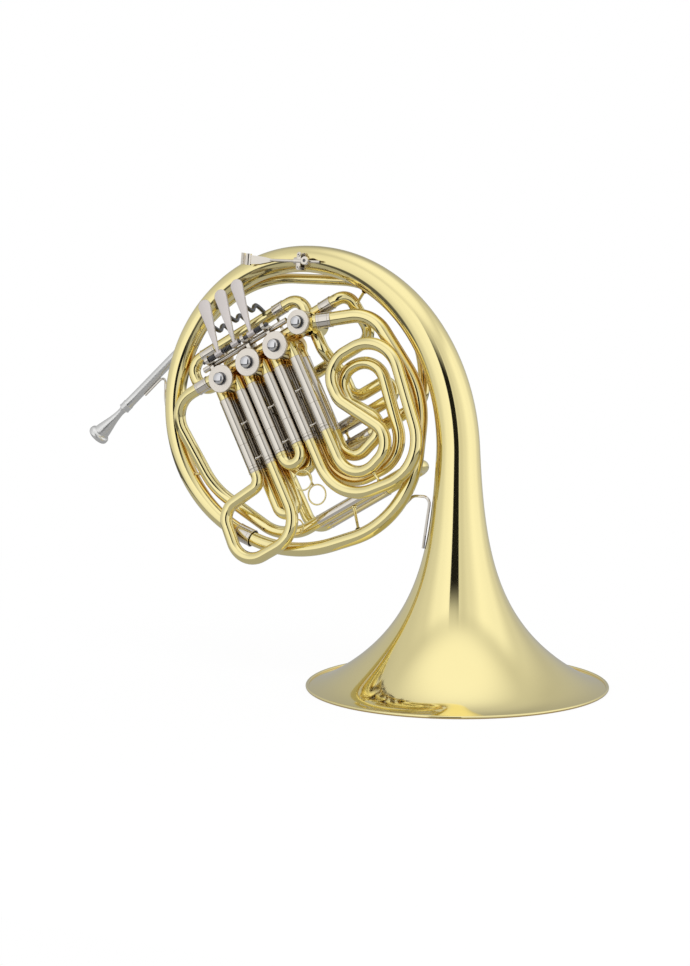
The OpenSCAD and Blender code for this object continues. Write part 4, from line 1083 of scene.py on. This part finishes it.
class HORN_OT_hook(bpy.types.Operator):
    """Little finger hook, its saddle, screws and clamp"""

    bl_idname = "horn.hook"
    bl_label = "Little finger hook"

    def execute(self, context):
        polished("pinky_hook", NICKEL, 0.4)
        polished("hook_saddle", NICKEL, 0.3)
        polished("hook_screws", NICKEL, 0.15)

        def upright(u, v):
            return Matrix.Rotation(ROW_ANGLE, 4, "Y") @ Matrix.Translation((u, CLAMP_Y, v))

        def front(u, v, y):
            return pointing(uv(u, CLAMP_Y + y, v), TO_FRONT)

        bar = [(BAR_R * cos(a), BAR_HALF + BAR_R * sin(a)) for a in arc(0, pi, 10)]
        bar += [(-x, -z) for x, z in bar]
        arm = [(-5, -2.5), (5, -2.5), (5, 2.5), (-5, 2.5)]
        boss = [(0, 0), (4.4, 0), (4.4, 2.8), (4, 3.2), (1.8, 3.2), (1.6, 2.4), (0, 2.4)]
        shapes = [plate(bar, 1.4, 0.3, upright(*CLAMP_BAR)),
                  plate(arm, 1.2, 0.3, upright(*CLAMP_ARM)),
                  spun(boss, front(*CLAMP_BOSS, 0.6), 40)]
        # Painted shade: thin dark discs at the bottom of the boss's hole and on the screw ends
        # stand for the shade inside these holes
        hole_shades = [rod(1.5, HOLE_T, front(*CLAMP_BOSS, -HOLE_DEPTH), 0.05)]
        for v in CLAMP_SCREW_V:
            shapes.append(rod(2, 6.2, front(CLAMP_BAR[0], v, 4.4)))
            hole_shades.append(rod(0.9, HOLE_T, front(CLAMP_BAR[0], v, -HOLE_DEPTH), 0.05, 24))
        finished("hook_clamp", gather(shapes), NICKEL)
        finished("hook_clamp_holes", gather(hole_shades), STEEL_AND_SHADE)
        return {"FINISHED"}


class HORN_OT_braces(bpy.types.Operator):
    """Braces between the tubes and the wires to the bell and the receiver"""

    bl_idname = "horn.braces"
    bl_label = "Braces"

    def execute(self, context):
        between = FRONT_Y / 4
        polished("braces", BRASS, keep=lambda point: point.y > between)
        polished("braces", NICKEL, label="sleeve_finish", keep=lambda point: point.y < between)
        polished("brace_wires", NICKEL)
        struts = [turned_strut(a, b, 1.5, 3) for a, b in COIL_STRUTS]
        finished("coil_struts", gather(struts), BRASS)
        strut = turned_strut(*CROOK_STRUT, 1.4, 2.8)
        finished("f_crook_3_strut", strut, BRASS, body=body_of("f_crook_3"))
        return {"FINISHED"}


def facing(turn, rise=0.0):
    """Direction at a turn round the horn, from the front to the right, and at a rise."""
    return Vector((sin(turn) * cos(rise), -cos(turn) * cos(rise), sin(rise)))


def seen_rays(tree):
    """Adds tests for rays seen in metal, and for those seen there or by the camera."""
    rays = add(tree, "ShaderNodeLightPath")
    glossy = rays["Is Glossy Ray"]
    return glossy, maths(tree, "MAXIMUM", rays["Is Camera Ray"], glossy)


def studio_world(studio):
    """Room of soft walls with a dark gap, seen in the metal, and plain white to the camera."""
    world = bpy.data.worlds.new("studio_room")
    bpy.context.scene.world = world
    world.use_nodes = True
    tree = world.node_tree
    tree.nodes.clear()
    view, side = facing(studio.azimuth), facing(studio.azimuth + pi / 2)
    up = Vector((0, 0, 1))
    ray = add(tree, "ShaderNodeTexCoord")["Generated"]

    def along(way):
        dot = add(tree, "ShaderNodeVectorMath", {0: ray, 1: way}, operation="DOT_PRODUCT")
        return dot["Value"]

    def fade(value, limits):
        return ranged(tree, value, limits, kind="SMOOTHSTEP")

    def fade_up(degrees):
        return fade(height, [sin(radians(d)) for d in degrees])

    round_angle = maths(tree, "ARCTAN2", along(side), along(view))
    height = along(up)
    walls = tree.nodes.new("ShaderNodeValToRGB")
    walls.color_ramp.interpolation = "EASE"
    stops = walls.color_ramp.elements
    while len(stops) < len(WALL_LEVELS):
        stops.new(0.5)
    for stop, (turn, level) in zip(stops, WALL_LEVELS):
        stop.position = turn / 360 + 0.5
        stop.color = (level, level, level, 1)
    fill(tree, walls, {"Fac": ranged(tree, round_angle, (-pi, pi))})
    above = along((view * CEILING_LEAN + up).normalized())
    ceiling = blend(tree, fade(above, [cos(radians(d)) for d in CEILING_CONE]), *CEILING_LEVELS)
    room = blend(tree, fade_up(WALL_TOP), walls.outputs["Color"], ceiling)
    turned = maths(tree, "ABSOLUTE", maths(tree, "ADD", round_angle, radians(GAP_TURN)))
    gap = fade(turned, [studio.slit * edge for edge in GAP_EDGE])
    room = blend(tree, maths(tree, "MULTIPLY", gap, fade_up(GAP_TOP)), room, GAP_LEVEL)
    # Below the walls the room is dark, which draws a line along the level tubes
    room = blend(tree, fade_up(WALL_FOOT), LOW_LEVEL, room)
    glossy, seen = seen_rays(tree)
    shown = blend(tree, seen, LIGHT_LEVEL, blend(tree, glossy, 1.0, room))
    background = add(tree, "ShaderNodeBackground", {"Color": shown})["Background"]
    add(tree, "ShaderNodeOutputWorld", {"Surface": background})


def floor_material():
    """Pale floor that is white to the camera, dimmer in the metal, and keeps a faint shadow."""
    material = bpy.data.materials.new("pale_floor")
    material.use_nodes = True
    tree = material.node_tree
    tree.nodes.clear()
    glossy, seen = seen_rays(tree)
    level = ranged(tree, glossy, (0.0, 1.0), FLOOR_SEEN, FLOOR_IN_METAL)
    grey = (FLOOR_GREY, FLOOR_GREY, FLOOR_GREY, 1)
    mix = add(tree, "ShaderNodeMixShader", {
        "Fac": maths(tree, "MULTIPLY", seen, FLOOR_GLOW),
        1: add(tree, "ShaderNodeBsdfDiffuse", {"Color": grey})["BSDF"],
        2: add(tree, "ShaderNodeEmission", {"Strength": level})["Emission"],
    })
    add(tree, "ShaderNodeOutputMaterial", {"Surface": mix["Shader"]})
    return material


class HORN_OT_stage(bpy.types.Operator):
    """Floor, studio room, soft light and camera"""

    bl_idname = "horn.stage"
    bl_label = "Stage"

    def execute(self, context):
        scene = context.scene
        studio = scene.horn_studio
        scene.view_settings.view_transform = "Standard"
        studio_world(studio)
        bm = bmesh.new()
        bmesh.ops.create_grid(bm, x_segments=1, y_segments=1, size=FLOOR_HALF)
        bmesh.ops.translate(bm, verts=bm.verts, vec=(0, 0, -FLOOR_DROP))
        mesh = meshed("floor", bm)
        mesh.materials.append(floor_material())
        floor = placed("floor", mesh)
        softbox = bpy.data.lights.new("overhead_softbox", "AREA")
        softbox.shape = "DISK"
        softbox.size = SOFTBOX_SIZE
        softbox.energy = SOFTBOX_WATTS
        lamp = placed("overhead_softbox", softbox)
        lamp.location = SOFTBOX_AT
        lamp.visible_glossy = lamp.visible_camera = False
        away = facing(studio.azimuth, studio.height)
        look = facing(studio.azimuth + pi - studio.pan, studio.tilt - studio.height)
        data = bpy.data.cameras.new("photo_camera")
        rim_share = RIM_WIDTH_PX / PHOTO_HEIGHT_PX
        data.lens = data.sensor_width * rim_share * studio.distance / (mm("rim_d") * MM)
        camera = placed("photo_camera", data)
        camera.location = away * studio.distance
        camera.rotation_euler = look.to_track_quat("-Z", "Y").to_euler()
        scene.camera = camera
        return {"FINISHED"}


OPERATORS = (
    HORN_OT_bell, HORN_OT_branches, HORN_OT_leadpipe, HORN_OT_mouthpiece, HORN_OT_valves,
    HORN_OT_feed_tubes, HORN_OT_sleeves, HORN_OT_valve_slides, HORN_OT_tuning_slides,
    HORN_OT_levers, HORN_OT_hook, HORN_OT_braces, HORN_OT_stage,
)


class HORN_PT_parts(bpy.types.Panel):
    """Lists the horn's operators and its driving values"""

    bl_label = "French horn"
    bl_idname = "HORN_PT_parts"
    bl_space_type = "VIEW_3D"
    bl_region_type = "UI"
    bl_category = "Horn"

    def draw(self, context):
        scene = context.scene
        for operator in OPERATORS:
            self.layout.operator(operator.bl_idname)
        for group in (scene.horn_sizes, scene.horn_finish, scene.horn_studio):
            for name in group.__annotations__:
                self.layout.prop(group, name)


CLASSES = (HornSizes, HornFinish, HornStudio, *OPERATORS, HORN_PT_parts)


def register():
    """Registers the classes and puts the driving values on the scene."""
    for item in CLASSES:
        bpy.utils.register_class(item)
    bpy.types.Scene.horn_sizes = PointerProperty(type=HornSizes)
    bpy.types.Scene.horn_finish = PointerProperty(type=HornFinish)
    bpy.types.Scene.horn_studio = PointerProperty(type=HornStudio)


def unregister():
    """Takes the classes and the driving values away again."""
    del bpy.types.Scene.horn_studio, bpy.types.Scene.horn_finish, bpy.types.Scene.horn_sizes
    for item in reversed(CLASSES):
        bpy.utils.unregister_class(item)


def main():
    """Makes every piece and the stage."""
    register()
    for operator in OPERATORS:
        group, name = operator.bl_idname.split(".")
        getattr(getattr(bpy.ops, group), name)()


if __name__ == "__main__":
    main()
